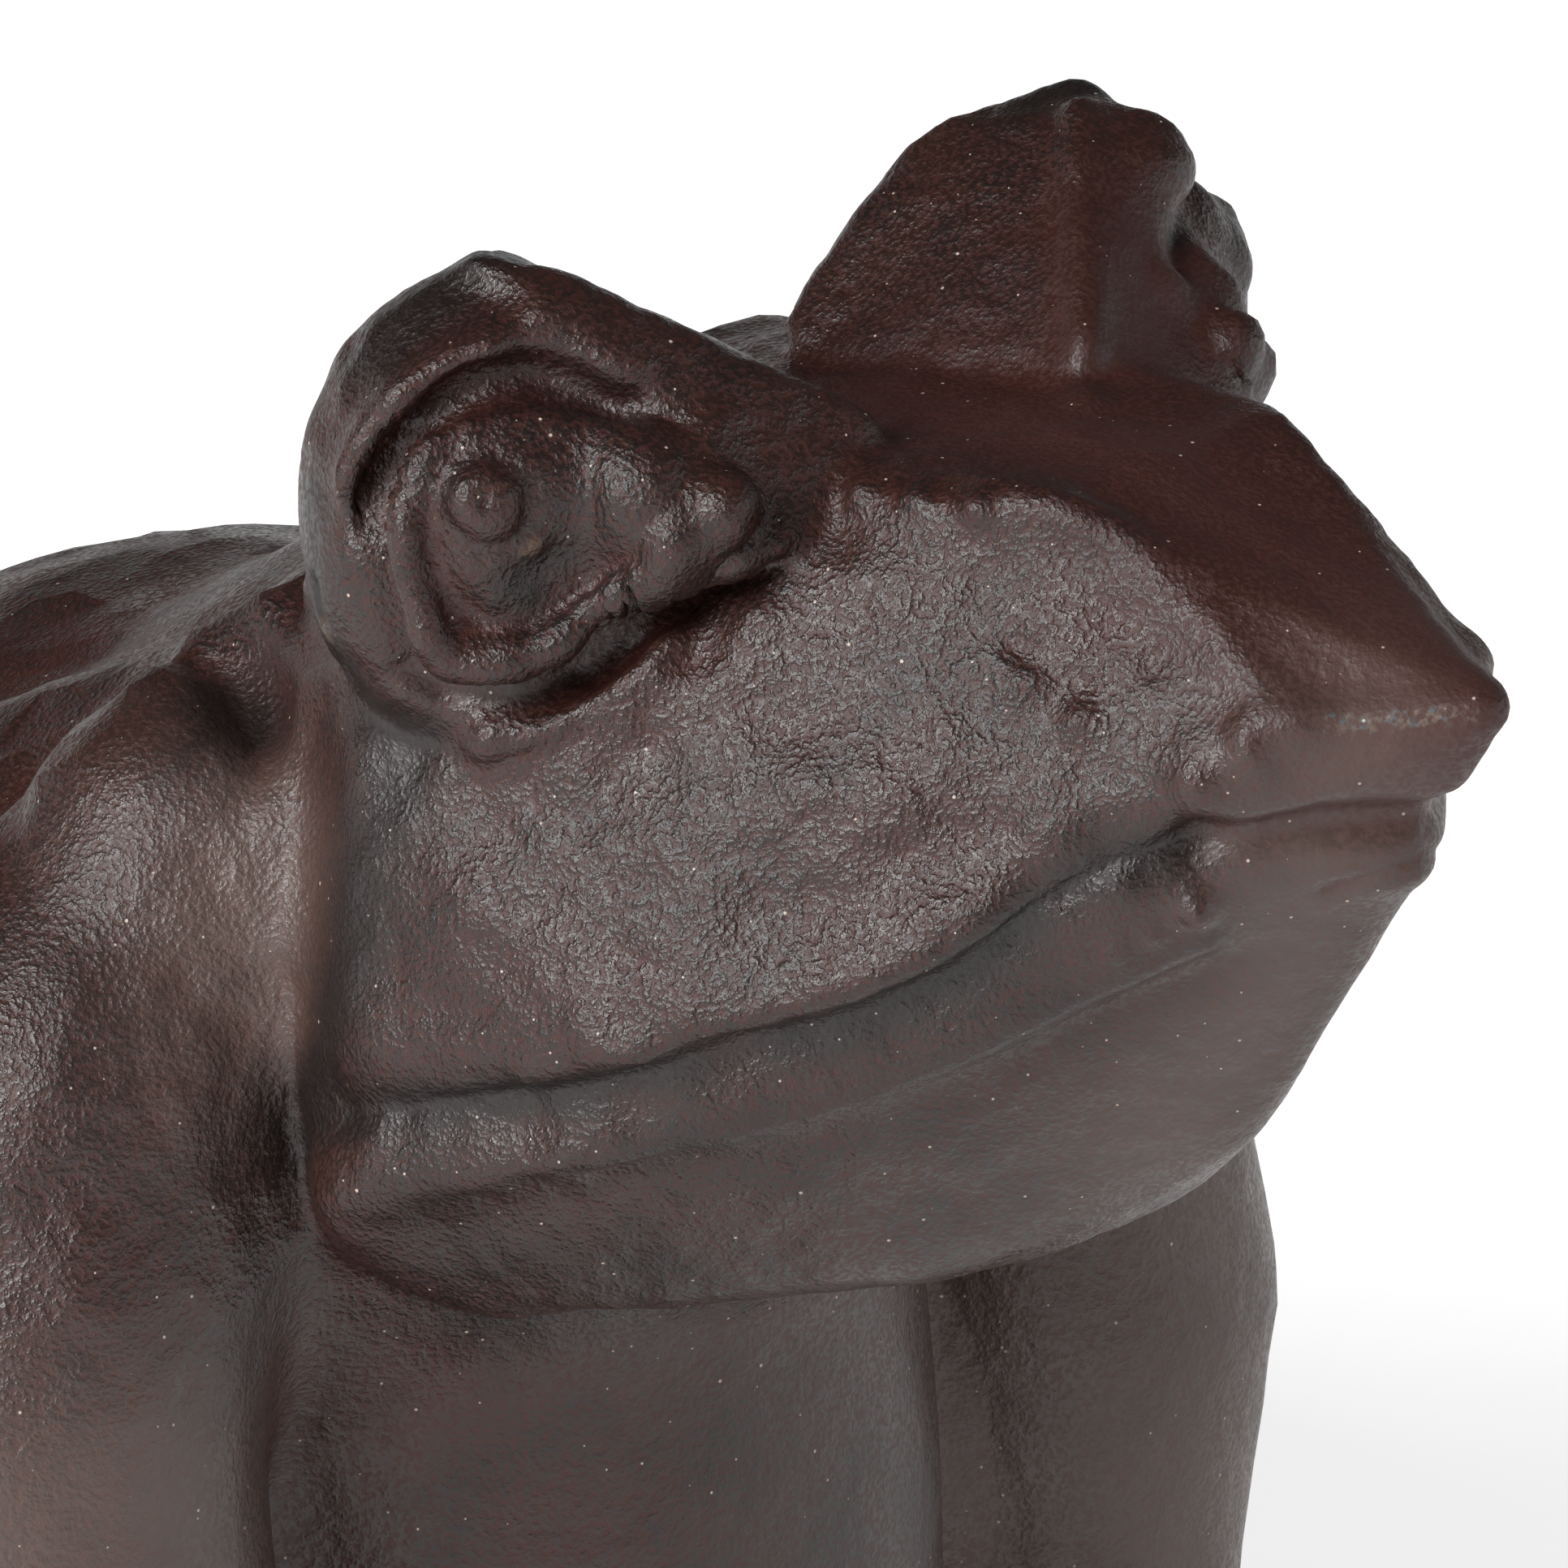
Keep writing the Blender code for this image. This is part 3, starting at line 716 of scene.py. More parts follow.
@dataclass(frozen=True)
class Face:
    """The strokes of the face and the back, where the finish is smooth, worn or red, and where shade and sheen are
    painted in.
    """

    forms: tuple[Crease | Swelling, ...] = (
        Crease(CANTHUS, 1.5, 0.5),
        Crease(SNOUT_EDGE, 1.2, 0.4),
        Swelling((3, 24, 9), (4.5, 12, 6), -0.5),
        Crease(BROW_VALLEY, 1.2, -0.9),
        Crease(BROW_FOLD, 1.1, 0.6),
        Crease(LID_GROOVE, 1.2, -1.1),
        Crease(LID, 1.1, 1.1),
        Crease(CHEEK_FOLD, 1.1, 0.8),
        Crease(LOWER_CHEEK_FOLD, 1.3, 0.4),
        Swelling((21.6, 7.5, 12.5), (2.6, 2.4, 2.4), -0.9),
        Swelling((24.7, 5.9, 8.7), (2.2, 2.2, 2.1), 0.8),
        Swelling((18.8, 9.1, 8.7), (2.8, 2.6, 2.4), 1.1),
        Swelling((16.1, 12.2, 9.8), (1.4, 1.6, 2.2), 0.6),
        Crease(MOUTH_FRONT, 1.6, -0.4),
        Crease(MOUTH, 1.7, -1.5),
        Crease(LOWER_LIP, 1.2, 0.6),
        Crease(JAW_FOLD, 1.8, -0.5),
        Swelling(LOBE, (3.5, 3.5, 3), 1.0),
        Swelling((7.6, 33.2, 17.6), (2.4, 2.4, 2.0), 0.6),
        Swelling((18.5, -18.5, 28), (4, 4.5, 6), 1.6),
        Crease(BACK_FOLD, 2.5, 0.9),
    )
    eye_details: tuple[Crease | Swelling, ...] = (
        Crease(BROW_CREST, 0.9, 0.6, Side.RIGHT),
        Crease(BROW_HOLLOW, 0.9, -0.9, Side.RIGHT),
        Crease(EYE_VALLEY, 0.9, -0.7, Side.RIGHT),
        Crease(LID_RIM, 0.55, 0.4, Side.RIGHT),
        Crease(LID_SHELF, 1.1, 0.5),
        Crease(UNDER_SHELF, 0.8, -0.35),
        Crease(CHEEK_CREST, 0.7, 0.45),
        Swelling(PUPIL, (2.2, 2.2, 2.2), 0.6, Side.RIGHT),
        Crease(PUPIL_RING, 0.5, -0.3, Side.RIGHT),
        Swelling(PUPIL, (0.33, 0.33, 0.33), -0.6, Side.RIGHT),
        Swelling((19.0, 9.7, 8.6), (3.4, 3.2, 2.6), 0.7, Side.RIGHT),
        Swelling((16.9, 13.1, 9.7), (0.9, 1.1, 1.6), 0.35, Side.RIGHT),
        Swelling((14.9, 9.3, 6.8), (1.4, 1.7, 1.1), 0.5),
        Swelling(TAN_SPOT, (0.8, 0.8, 0.6), 0.35, Side.RIGHT),
    )
    cast_marks: tuple[Crease | Swelling, ...] = (
        Swelling(EAR_MIDDLE, (2.8, 3.2, 4.2), -1.0),
        Crease(EAR_RIM, 1.1, 1.0),
        Crease(EAR_FRONT, 1.1, 0.7),
        Crease(NECK_RIDGE, 0.7, 0.35, Side.RIGHT),
        Crease(SHOULDER_RIDGE, 0.9, 0.4),
        Swelling(FLAKE, (1.4, 1.1, 1.8), 0.25, Side.RIGHT),
        Crease(((25.9, -3.7, 14.8), (25.5, -3.4, 16)), 0.4, -0.6, Side.RIGHT),
        Crease(((24.9, -3.1, 17.9), (24.3, -3.6, 19.2)), 0.4, -0.6, Side.RIGHT),
        Crease(((16, 20, 20), (20, 10, 24), (24, 3, 29)), 2.4, 0.3, Side.RIGHT),
        Crease(((13, 25, 22), (18, 17, 27.5)), 1.6, -0.25, Side.RIGHT),
        Swelling((10.6, 14.8, 9.5), (0.9, 0.8, 0.7), 0.5, Side.RIGHT),
        Swelling((10.1, 17.6, 9.3), (0.7, 0.7, 0.6), 0.45, Side.RIGHT),
        Swelling((9.5, 20.6, 9.1), (0.7, 0.7, 0.6), 0.45, Side.RIGHT),
        Crease(NOSTRIL, 0.6, -0.15, Side.RIGHT),
        Swelling((11.2, 24.6, 15.4), (1.2, 1.2, 0.9), 0.35, Side.RIGHT),
        Swelling((10.3, 27.7, 16.7), (0.8, 0.8, 0.7), 0.4, Side.RIGHT),
        Swelling((7.2, 34.8, 16.8), (1.0, 1.0, 1.5), 0.7),
        Swelling((8.8, 33, 18.9), (1.0, 1.0, 1.1), 0.5),
        Crease(FRONT_LINE, 0.5, -0.3),
        Swelling(BEAD, (0.9, 0.9, 0.8), 1.0, Side.RIGHT),
        Swelling((9.2, 31.3, 26.5), (0.7, 0.7, 0.6), 0.4, Side.RIGHT),
        Swelling((10.1, 30, 27.1), (0.6, 0.6, 0.6), 0.35, Side.RIGHT),
        Crease(MOUND_CREASE, 0.9, 0.6, Side.LEFT),
        Swelling((19.6, 5.6, 3.6), (2.6, 2.6, 2.0), 1.6, Side.LEFT),
        Crease(MOUTH_FRONT, 1.1, -0.7),
        Swelling((0, 38.2, 23.5), (4, 3, 1.6), 0.6),
    )
    patches: tuple[Patch, ...] = (
        # Painted shade along the mouth and the eye grooves, in the ear and behind the cheek, under the jaw, on the
        # chest, the shoulder and the top of the eye mound
        Patch(Layer.DARK, MOUTH, 1.7, 1.0),
        Patch(Layer.DARK, GREY_BAND, 1.8, 0.9),
        Patch(Layer.DARK, ((26, 0, 44), (20, 9, 45)), 4.5, 0.5),
        Patch(Layer.DARK, ((6, 5, 50), (14, -2, 52)), 6.0, 0.6),
        Patch(Layer.DARK, ((30, -14, 54), (33, -15, 64)), 8.0, 0.4),
        Patch(Layer.DARK, LID_GROOVE, 0.9, 0.5),
        Patch(Layer.DARK, BROW_HOLLOW, 1.0, 0.9),
        Patch(Layer.DARK, UNDER_SHELF, 0.6, 0.8),
        Patch(Layer.DARK, ((22.6, 5.9, 13), (21.6, 7.5, 12)), 1.6, 0.9),
        Patch(Layer.DARK, PUPIL_RING, 0.5, 0.6),
        Patch(Layer.DARK, (EAR_MIDDLE,), 3.4, 1.0),
        Patch(Layer.DARK, CHEEK_REAR, 2.6, 0.9),
        Patch(Layer.DARK, ((24, -2.5, 3.5), (20, -0.5, 0), (16, -1.5, 0.5)), 3.0, 1.0),
        Patch(Layer.DARK, LOWER_LIP, 1.8, 0.5),
        Patch(Layer.DARK, JAW_FOLD, 1.2, 0.35),
        Patch(Layer.DARK, ((16, 20, 20), (20, 10, 21)), 1.8, 0.35),
        Patch(Layer.SMOOTH, FRONT_FACE, 6.0, 1.0),
        Patch(Layer.SMOOTH, ((8, 22, 44), (14, 12, 48)), 7.0, 0.8),
        Patch(Layer.SMOOTH, GREY_BAND, 1.7, 1.0),
        Patch(Layer.SMOOTH, UNDER_SHELF, 0.7, 0.9),
        Patch(Layer.SMOOTH, ((14, 9, 6), (9, 13, 8)), 4.0, 0.8, Side.LEFT),
        Patch(Layer.WORN, SNOUT_EDGE, 0.8, 0.6),
        Patch(Layer.WORN, ((7.2, 34.8, 15.9), (5.8, 36, 16)), 0.6, 0.5),
        Patch(Layer.TAN, (TAN_SPOT,), 0.7, 1.0, Side.RIGHT),
        Patch(Layer.TAN, (FLAKE,), 0.9, 0.8, Side.RIGHT),
        Patch(Layer.TAN, ((19.2, 9.6, 8.4),), 0.8, 0.3, Side.RIGHT),
        Patch(Layer.RED, LOWER_LIP, 0.6, 0.6),
        Patch(Layer.RED, FRONT_LINE, 0.4, 0.5),
        Patch(Layer.RED, (BEAD,), 0.9, 0.6, Side.RIGHT),
        Patch(Layer.RED, (LOBE,), 2.4, 0.4),
        Patch(Layer.RED, LID_RIM, 0.9, 0.4),
        Patch(Layer.RED, ((10.6, 14.8, 9.5), (9.5, 20.6, 9.1)), 0.7, 0.3, Side.RIGHT),
        # Painted sheen on the far foreleg, the near neck and arm, and thinly on the front of the face
        Patch(Layer.PAINTED_SHEEN, FORELEG, 10.0, 1.0, Side.LEFT),
        Patch(Layer.PAINTED_SHEEN, ((22, -12, 32), (26, -14, 40)), 6.0, 0.7, Side.RIGHT),
        Patch(Layer.PAINTED_SHEEN, ((34, -12, 58), (38, -14, 66)), 7.0, 0.8, Side.RIGHT),
        Patch(Layer.PAINTED_SHEEN, FRONT_FACE, 5.0, 0.25),
        Patch(Layer.MATTE, ((0, 40, 14.5), (0, 30, 12), (0, 20, 9.5), (0, 6, 10)), 6.0, 1.0),
        Patch(Layer.MATTE, ((14, 9, 6), (9, 13, 8)), 5.0, 0.8, Side.LEFT),
    )
    # Height below the brow where the head ends and the smoother neck, chest and legs begin
    head_depth: float = 54.0
    # How far round each point the edge of the jaw is evened out
    softness: float = 5.0
    far_softness: float = 2.4
    near_softness: float = 0.8

    def sculpt(self, skin: Skin, voxel: float) -> None:
        """Softens the jaw and the shoulder, works in all strokes, and lumps the skin where it is not smooth.

        Args:
            skin: the skin.
            voxel: width of the grid that it was made on.
        """
        _, marks, _ = skin.read()
        folded = Skin.folded(marks, Side.BOTH)
        jaw = Skin.gap_to_line(folded, np.array(JAW_EDGE), 15.0)
        shoulder = Skin.gap_to_line(folded, np.array(SHOULDER), 27.0)
        skin.soften(np.clip(np.maximum(np.exp(-((jaw / 5) ** 2)), 1.2 * np.exp(-((shoulder / 9) ** 2))), 0, 1),
                    round(2 * (self.softness / voxel) ** 2))
        for stroke in (*self.forms, *self.eye_details, *self.cast_marks):
            if isinstance(stroke, Crease):
                skin.crease(stroke)
            else:
                skin.swell(stroke)
        _, marks, _ = skin.read()
        far_eye = Skin.gap_to_line(Skin.folded(marks, Side.LEFT), np.array(FAR_EYE), 15.0)
        skin.soften(np.exp(-((far_eye / 6) ** 2)), round(2 * (self.far_softness / voxel) ** 2))
        _, marks, _ = skin.read()
        near_eye = Skin.gap_to_line(Skin.folded(marks, Side.RIGHT), np.array(LID_SHELF[4:]), 6.0)
        skin.soften(np.exp(-((near_eye / 2.5) ** 2)), round(2 * (self.near_softness / voxel) ** 2))
        _, marks, _ = skin.read()
        skin.group("rough", 1.0 - 0.85 * self.layer(marks, Layer.SMOOTH))
        skin.lumps(5.0, 0.3, "rough")
        skin.lumps(1.7, 0.13, "rough")

    def layer(self, marks: np.ndarray, layer: Layer) -> np.ndarray:
        """How far each point of the skin belongs to one finish.

        Args:
            marks: the points as marks.
            layer: the finish.

        Returns:
            A share from 0 to 1 for each point.
        """
        share = np.zeros(len(marks))
        for patch in self.patches:
            if patch.layer is layer:
                line = np.array(patch.marks, dtype=float)
                gap = Skin.gap_to_line(Skin.folded(marks, patch.side), line, 3 * patch.width)
                share = np.maximum(share, patch.strength * np.exp(-((gap / patch.width) ** 2)))
        if layer is Layer.SMOOTH:
            share = np.maximum(share, 0.7 / (1.0 + np.exp((self.head_depth - marks[:, 2]) / 2.0)))
        return share

    def mark_finish(self, skin: Skin) -> None:
        """Stores every layer of the finish on the points, the painted shade and sheen among them, and how hollow the
        skin is there.
        """
        points, marks, normals = skin.read()
        even = skin.evened(points, 12)
        hollow = np.clip(((even - points) * normals).sum(axis=1) / (0.12 * MM), -1.0, 1.0)
        skin.store("hollow", hollow)
        for layer in Layer:
            skin.store(layer.value, self.layer(marks, layer))


def linear(hex_colour: str) -> tuple[float, float, float, float]:
    """Turns an sRGB hex colour to linear.

    Args:
        hex_colour: six hex digits.

    Returns:
        Red, green, blue and alpha.
    """
    channels = [int(hex_colour[i : i + 2], 16) / 255 for i in (0, 2, 4)]
    return (*[c / 12.92 if c <= 0.04045 else ((c + 0.055) / 1.055) ** 2.4 for c in channels], 1.0)


class Nodes:
    """The node tree of one material or of the world."""

    def __init__(self, owner: bpy.types.Material | bpy.types.World) -> None:
        """Turns on the nodes of a material or world and keeps its tree."""
        owner.use_nodes = True
        self.owner = owner
        self.tree = owner.node_tree

    def add(self, kind: str, settings: dict | None = None, **links: object) -> bpy.types.Node:
        """Adds a node with its settings and links.

        Args:
            kind: the node's type.
            settings: properties of the node.
            links: input names (spaces as underscores, or in0, in1) with a value or an output socket.

        Returns:
            The node.
        """
        node = self.tree.nodes.new(kind)
        for key, value in (settings or {}).items():
            setattr(node, key, value)
        self.set(node, **links)
        return node

    def set(self, node: bpy.types.Node, **links: object) -> None:
        """Sets or links inputs of a node.

        Args:
            node: the node.
            links: input names with a value or an output socket, as for add.
        """
        for key, value in links.items():
            socket = node.inputs[int(key[2:])] if key.startswith("in") else node.inputs[key.replace("_", " ")]
            if isinstance(value, bpy.types.NodeSocket):
                self.tree.links.new(value, socket)
            else:
                socket.default_value = value


@dataclass(frozen=True)
class PaintedIron:
    """Dark brown oil paint, brushed thinly over sand-cast iron.

    Casting in sand leaves a grain of about a quarter millimetre, which the thin paint follows. The eye sees
    grey gloss on the tops of the grain and red-brown between them; near black shade, a lighter sheen and small glints
    are painted in.
    """

    brown: str = "2A1A15"
    # Lighter colour of the painted sheen
    pale: str = "7A6861"
    dark_brown: str = "1B1311"
    red_brown: str = "3B1A14"
    # Near black of the painted shade
    iron: str = "1C1412"
    red: str = "461D16"
    tan: str = "66503E"
    dust: str = "7C7063"
    chalk: str = "56707A"
    # Colour of the painted glints
    painted_glint: str = "B7A99C"
    roughness: float = 0.32
    matte_rise: float = 0.25
    ior: float = 1.45
    # The real grain is 0.25 mm, drawn a little coarser so that it shows
    grain_mm: float = 0.29
    ripple_mm: float = 1.3
    blotch_mm: float = 6.0
    # Spacing of the painted glints
    painted_glint_mm: float = 0.8
    grain_depth_mm: float = 0.13
    ripple_depth_mm: float = 0.1
    # Paint lies thin and dull in the gaps of the grain
    gap_roughness: float = 0.5

    def build(self) -> bpy.types.Material:
        """Builds the material.

        Returns:
            The material.
        """
        n = Nodes(bpy.data.materials.new("painted_sand_cast_iron"))
        shader = n.tree.nodes["Principled BSDF"]
        place = n.add("ShaderNodeTexCoord").outputs["Object"]
        layers = {
            name: n.add("ShaderNodeAttribute", {"attribute_name": name}).outputs["Fac"]
            for name in ("hollow", *[layer.value for layer in Layer])
        }
        grain = n.add("ShaderNodeTexNoise", in0=place, Scale=1 / (self.grain_mm * MM), Detail=2.0,
                      Roughness=0.5).outputs["Fac"]
        ripple = n.add("ShaderNodeTexNoise", in0=place, Scale=1 / (self.ripple_mm * MM), Detail=1.0,
                       Roughness=0.5).outputs["Fac"]
        blotch = n.add("ShaderNodeTexNoise", in0=place, Scale=1 / (self.blotch_mm * MM), Detail=5.0,
                       Roughness=0.65).outputs["Fac"]
        base = self.colours(n, place, grain, ripple, blotch, layers)
        top = n.add("ShaderNodeMapRange", Value=blotch, From_Min=0.35, From_Max=0.65,
                    To_Min=self.roughness - 0.05, To_Max=self.roughness + 0.08).outputs["Result"]
        gloss = n.add("ShaderNodeMapRange", Value=grain, From_Min=0.42, From_Max=0.56, To_Min=self.gap_roughness,
                      To_Max=top)
        fine = n.add("ShaderNodeMapRange", Value=layers["smooth"], To_Min=self.grain_depth_mm,
                     To_Max=0.03)
        height = n.add("ShaderNodeMath", {"operation": "MULTIPLY"}, in0=grain, in1=fine.outputs["Result"])
        height = n.add("ShaderNodeMath", {"operation": "MULTIPLY_ADD"}, in0=ripple, in1=self.ripple_depth_mm,
                       in2=height.outputs[0])
        bump = n.add("ShaderNodeBump", Height=height.outputs[0], Distance=MM, Strength=1.0)
        gloss = n.add("ShaderNodeMath", {"operation": "MULTIPLY_ADD"}, in0=layers["matte"], in1=self.matte_rise,
                      in2=gloss.outputs["Result"])
        n.set(shader, Base_Color=base, Roughness=gloss.outputs[0], Normal=bump.outputs["Normal"], IOR=self.ior)
        return n.owner

    def colours(self, n: Nodes, place: bpy.types.NodeSocket, grain: bpy.types.NodeSocket,
                ripple: bpy.types.NodeSocket, blotch: bpy.types.NodeSocket,
                layers: dict[str, bpy.types.NodeSocket]) -> bpy.types.NodeSocket:
        """Lays the colours of the paint over each other, the painted shade, sheen and glints among them.

        Args:
            n: the tree.
            place: the place on the casting.
            grain: noise of the sand grain.
            ripple: noise of the brush ripples.
            blotch: noise of the uneven paint.
            layers: the layers of the finish that the points keep, by name.

        Returns:
            The colour.
        """
        uneven = n.add("ShaderNodeMapRange", Value=blotch, From_Min=0.44, From_Max=0.6).outputs["Result"]
        base = n.add("ShaderNodeMix", {"data_type": "RGBA"}, in0=uneven, in6=linear(self.brown),
                     in7=linear(self.dark_brown)).outputs[2]
        warm = n.add("ShaderNodeMapRange", Value=grain, From_Min=0.55, From_Max=0.38, To_Max=0.7).outputs["Result"]
        base = n.add("ShaderNodeMix", {"data_type": "RGBA"}, in0=warm, in6=base,
                     in7=linear(self.red_brown)).outputs[2]
        base = n.add("ShaderNodeMix", {"data_type": "RGBA"}, in0=layers["matte"], in6=base,
                     in7=linear(self.red_brown)).outputs[2]
        # Painted sheen: the lighter colour where its layer lies
        base = n.add("ShaderNodeMix", {"data_type": "RGBA"}, in0=layers["pale"], in6=base,
                     in7=linear(self.pale)).outputs[2]
        primer = n.add("ShaderNodeMath", {"operation": "MULTIPLY_ADD"}, in0=layers["hollow"], in1=0.25,
                       in2=layers["red"])
        primer = n.add("ShaderNodeMath", {"operation": "MULTIPLY", "use_clamp": True}, in0=primer.outputs[0],
                       in1=0.8).outputs[0]
        base = n.add("ShaderNodeMix", {"data_type": "RGBA"}, in0=primer, in6=base, in7=linear(self.red)).outputs[2]
        # Painted shade: the near black where its layer lies, made uneven by the blotch noise
        shade_mask = n.add("ShaderNodeMath", {"operation": "MULTIPLY"}, in0=layers["dark"], in1=blotch)
        shade_mask = n.add("ShaderNodeMapRange", Value=shade_mask.outputs[0], From_Min=0.08, From_Max=0.42).outputs["Result"]
        base = n.add("ShaderNodeMix", {"data_type": "RGBA"}, in0=shade_mask, in6=base, in7=linear(self.iron)).outputs[2]
        under = n.add("ShaderNodeMath", {"operation": "MULTIPLY"}, in0=layers["tan"], in1=ripple)
        under = n.add("ShaderNodeMapRange", Value=under.outputs[0], From_Min=0.15, From_Max=0.5,
                      To_Max=0.9).outputs["Result"]
        base = n.add("ShaderNodeMix", {"data_type": "RGBA"}, in0=under, in6=base, in7=linear(self.tan)).outputs[2]
        cell = n.add("ShaderNodeTexVoronoi", {"feature": "F1"}, in0=place, Scale=1 / (0.35 * MM))
        blue = n.add("ShaderNodeSeparateColor", in0=cell.outputs["Color"])
        blue = n.add("ShaderNodeMapRange", Value=blue.outputs[0], From_Min=0.8, From_Max=0.85).outputs["Result"]
        rubbed = n.add("ShaderNodeMix", {"data_type": "RGBA"}, in0=blue, in6=linear(self.dust),
                       in7=linear(self.chalk)).outputs[2]
        rub = n.add("ShaderNodeMath", {"operation": "MULTIPLY"}, in0=layers["worn"], in1=grain)
        rub = n.add("ShaderNodeMapRange", Value=rub.outputs[0], From_Min=0.22, From_Max=0.5,
                    To_Max=0.85).outputs["Result"]
        base = n.add("ShaderNodeMix", {"data_type": "RGBA"}, in0=rub, in6=base, in7=rubbed).outputs[2]
        # Painted glints: small light dots scattered at random over the paint
        glint_cells = n.add("ShaderNodeTexVoronoi", {"feature": "F1"}, in0=place, Scale=1 / (self.painted_glint_mm * MM))
        chance = n.add("ShaderNodeSeparateColor", in0=glint_cells.outputs["Color"])
        radius = n.add("ShaderNodeMapRange", Value=chance.outputs[0], From_Min=0.3, From_Max=1.0, To_Max=0.12)
        inside = n.add("ShaderNodeMath", {"operation": "SUBTRACT"}, in0=radius.outputs["Result"],
                       in1=glint_cells.outputs["Distance"])
        glint_mask = n.add("ShaderNodeMapRange", Value=inside.outputs[0], From_Max=0.03)
        return n.add("ShaderNodeMix", {"data_type": "RGBA"}, in0=glint_mask.outputs["Result"], in6=base,
                     in7=linear(self.painted_glint)).outputs[2]


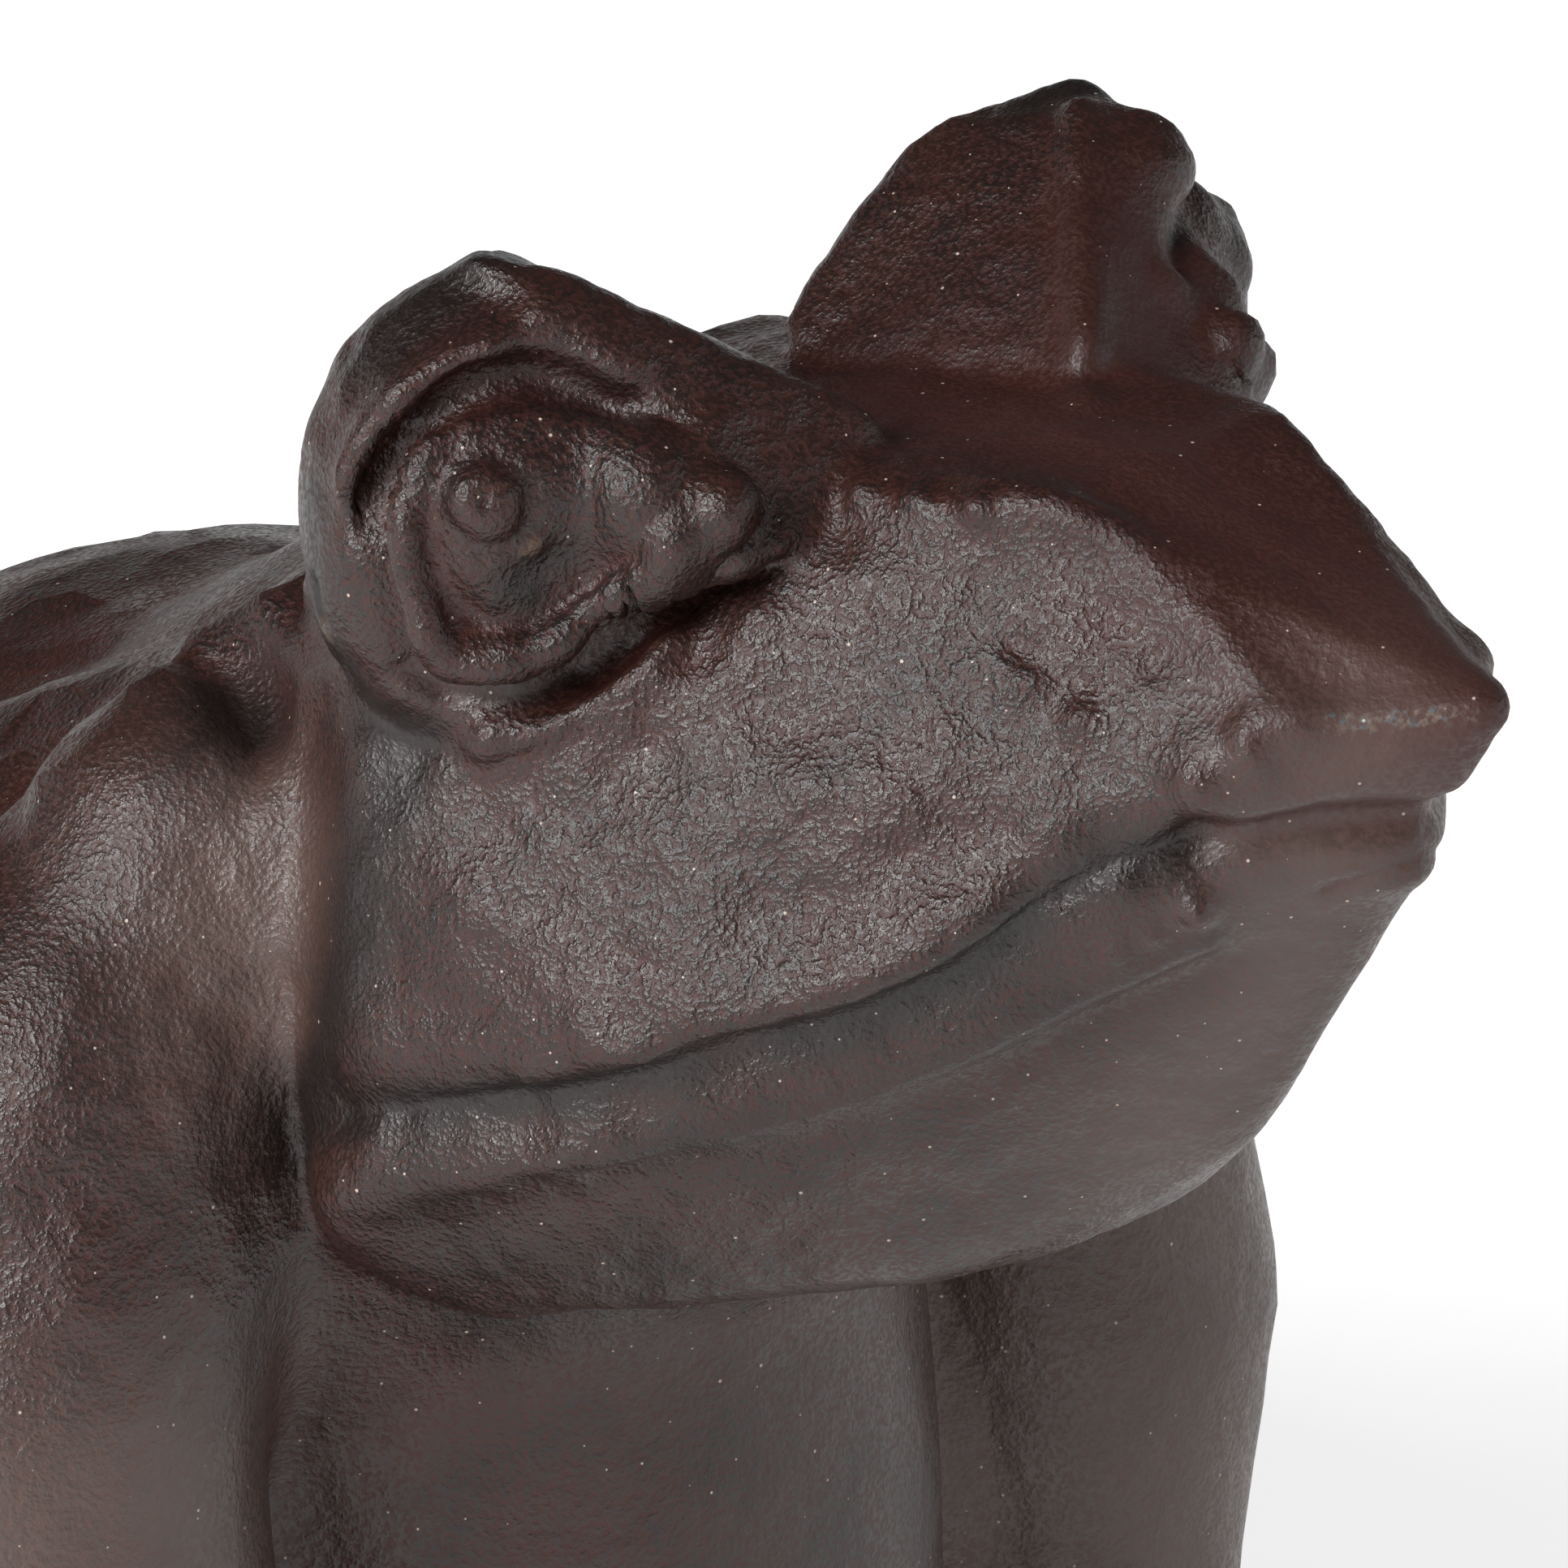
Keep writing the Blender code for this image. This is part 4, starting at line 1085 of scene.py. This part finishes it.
@dataclass
class Studio:
    """A plain white floor, even surroundings, one tall soft light and the camera."""

    azimuth: float = -45.0
    elevation: float = 20.5
    distance: float = 0.5
    pixels_per_mm: float = 27.0
    frame_pixels: int = 1932
    horizon_level: float = 0.4
    zenith_level: float = 0.1
    back_share: float = 0.35
    # With the light that falls on the floor this makes white, and the shadow stays below it
    floor_glow: float = 0.75

    def direction(self, azimuth: float, elevation: float) -> Vector:
        """Unit vector from the object towards a place round it.

        Args:
            azimuth: degrees, 0 in front of the frog's face, positive to its left.
            elevation: degrees over the ground.

        Returns:
            The vector.
        """
        a, e = math.radians(azimuth), math.radians(elevation)
        return Vector((math.sin(a) * math.cos(e), -math.cos(a) * math.cos(e), math.sin(e)))

    def camera(self, target: Vector) -> None:
        """Puts the camera at the photograph's angle.

        Args:
            target: the point in the middle of the frame.
        """
        data = bpy.data.cameras.new("camera")
        data.sensor_width = 36.0
        data.lens = data.sensor_width * self.distance / MM / (self.frame_pixels / self.pixels_per_mm)
        data.clip_start = 0.01
        obj = bpy.data.objects.new("camera", data)
        back = self.direction(self.azimuth, self.elevation)
        obj.location = target + back * self.distance
        obj.rotation_euler = (-back).to_track_quat("-Z", "Y").to_euler()
        bpy.context.scene.collection.objects.link(obj)
        bpy.context.scene.camera = obj

    def softbox(self, name: str, target: Vector, azimuth: float, elevation: float, size: tuple[float, float],
                power: float) -> None:
        """A soft light that faces the target from 0.6 m away.

        Args:
            name: name of the light.
            target: the point that it faces.
            azimuth: degrees round the object.
            elevation: degrees over the ground.
            size: width and height in metres.
            power: watts.
        """
        data = bpy.data.lights.new(name, "AREA")
        data.shape = "RECTANGLE"
        data.size, data.size_y = size
        data.energy = power
        obj = bpy.data.objects.new(name, data)
        back = self.direction(azimuth, elevation)
        obj.location = target + back * 0.6
        obj.rotation_euler = (-back).to_track_quat("-Z", "Y").to_euler()
        bpy.context.scene.collection.objects.link(obj)

    @staticmethod
    def seen(n: Nodes) -> bpy.types.NodeSocket:
        """Share that is 1 for rays from the camera and those that gloss or glass sends on."""
        path = n.add("ShaderNodeLightPath")
        share = n.add("ShaderNodeMath", {"operation": "ADD"}, in0=path.outputs["Is Camera Ray"],
                      in1=path.outputs["Is Glossy Ray"])
        return n.add("ShaderNodeMath", {"operation": "ADD", "use_clamp": True}, in0=share.outputs[0],
                     in1=path.outputs["Is Transmission Ray"]).outputs[0]

    def floor(self) -> bpy.types.Object:
        """A plain white floor that keeps the object's shadow.

        Returns:
            The floor.
        """
        bm = bmesh.new()
        bmesh.ops.create_grid(bm, x_segments=1, y_segments=1, size=3.0)
        obj = Blocks.mesh_object("floor", bm)
        n = Nodes(bpy.data.materials.new("white_floor"))
        shader = n.tree.nodes["Principled BSDF"]
        n.set(shader, Base_Color=linear("F0F0F0"), Roughness=0.8)
        white = n.add("ShaderNodeEmission", Strength=self.floor_glow)
        lit = n.add("ShaderNodeAddShader", in0=shader.outputs[0], in1=white.outputs[0])
        shown = n.add("ShaderNodeMixShader", in0=self.seen(n), in1=shader.outputs[0], in2=lit.outputs[0])
        n.set(n.tree.nodes["Material Output"], Surface=shown.outputs[0])
        obj.data.materials.append(n.owner)
        return obj

    def surroundings(self) -> None:
        """A white backdrop for the camera and for gloss, and a brighter horizon under a dimmer ceiling as light."""
        world = bpy.data.worlds.new("surroundings")
        bpy.context.scene.world = world
        n = Nodes(world)
        towards = n.add("ShaderNodeTexCoord").outputs["Generated"]
        height = n.add("ShaderNodeSeparateXYZ", in0=towards).outputs["Z"]
        ceiling = n.add("ShaderNodeMapRange", {"interpolation_type": "SMOOTHSTEP"}, Value=height, From_Min=-0.05,
                        From_Max=0.5, To_Min=self.horizon_level, To_Max=self.zenith_level).outputs["Result"]
        ahead = n.add("ShaderNodeVectorMath", {"operation": "DOT_PRODUCT"}, in0=towards,
                      in1=self.direction(25.0, 0.0)).outputs["Value"]
        side = n.add("ShaderNodeMapRange", {"interpolation_type": "SMOOTHSTEP"}, Value=ahead, From_Min=-0.6,
                     From_Max=0.8, To_Min=self.back_share, To_Max=1.0).outputs["Result"]
        level = n.add("ShaderNodeMath", {"operation": "MULTIPLY"}, in0=ceiling, in1=side).outputs[0]
        light = n.tree.nodes["Background"]
        n.set(light, Color=(1.0, 1.0, 1.0, 1.0), Strength=level)
        white = n.add("ShaderNodeBackground", Color=(1.0, 1.0, 1.0, 1.0), Strength=1.0)
        backdrop = n.add("ShaderNodeMapRange", Value=height, From_Min=0.16, From_Max=0.08).outputs["Result"]
        share = n.add("ShaderNodeMath", {"operation": "MULTIPLY"}, in0=self.seen(n), in1=backdrop)
        shown = n.add("ShaderNodeMixShader", in0=share.outputs[0], in1=light.outputs[0], in2=white.outputs[0])
        n.set(n.tree.nodes["World Output"], Surface=shown.outputs[0])

    def build(self, target: Vector) -> None:
        """Sets everything up round the target."""
        bpy.context.scene.view_settings.view_transform = "Standard"
        self.camera(target)
        self.softbox("window", target, -88.0, 32.0, (0.32, 0.34), 5.0)
        self.softbox("fill", target, 38.0, 8.0, (0.5, 0.5), 1.0)
        self.floor()
        self.surroundings()


def main() -> None:
    """Builds the figurine and the studio."""
    logging.basicConfig(level=logging.INFO, format="%(message)s")
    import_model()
    casting = Casting()
    piece = casting.build(Face())
    piece.data.materials.clear()
    piece.data.materials.append(PaintedIron().build())
    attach(piece, "root")
    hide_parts("frog")
    LOG.info("casting: %d triangles", triangle_count(piece))
    Studio().build(casting.on_head(0.0, -0.5, 29.9))
    LOG.info("studio: floor, surroundings, light and camera")


if __name__ == "__main__":
    main()
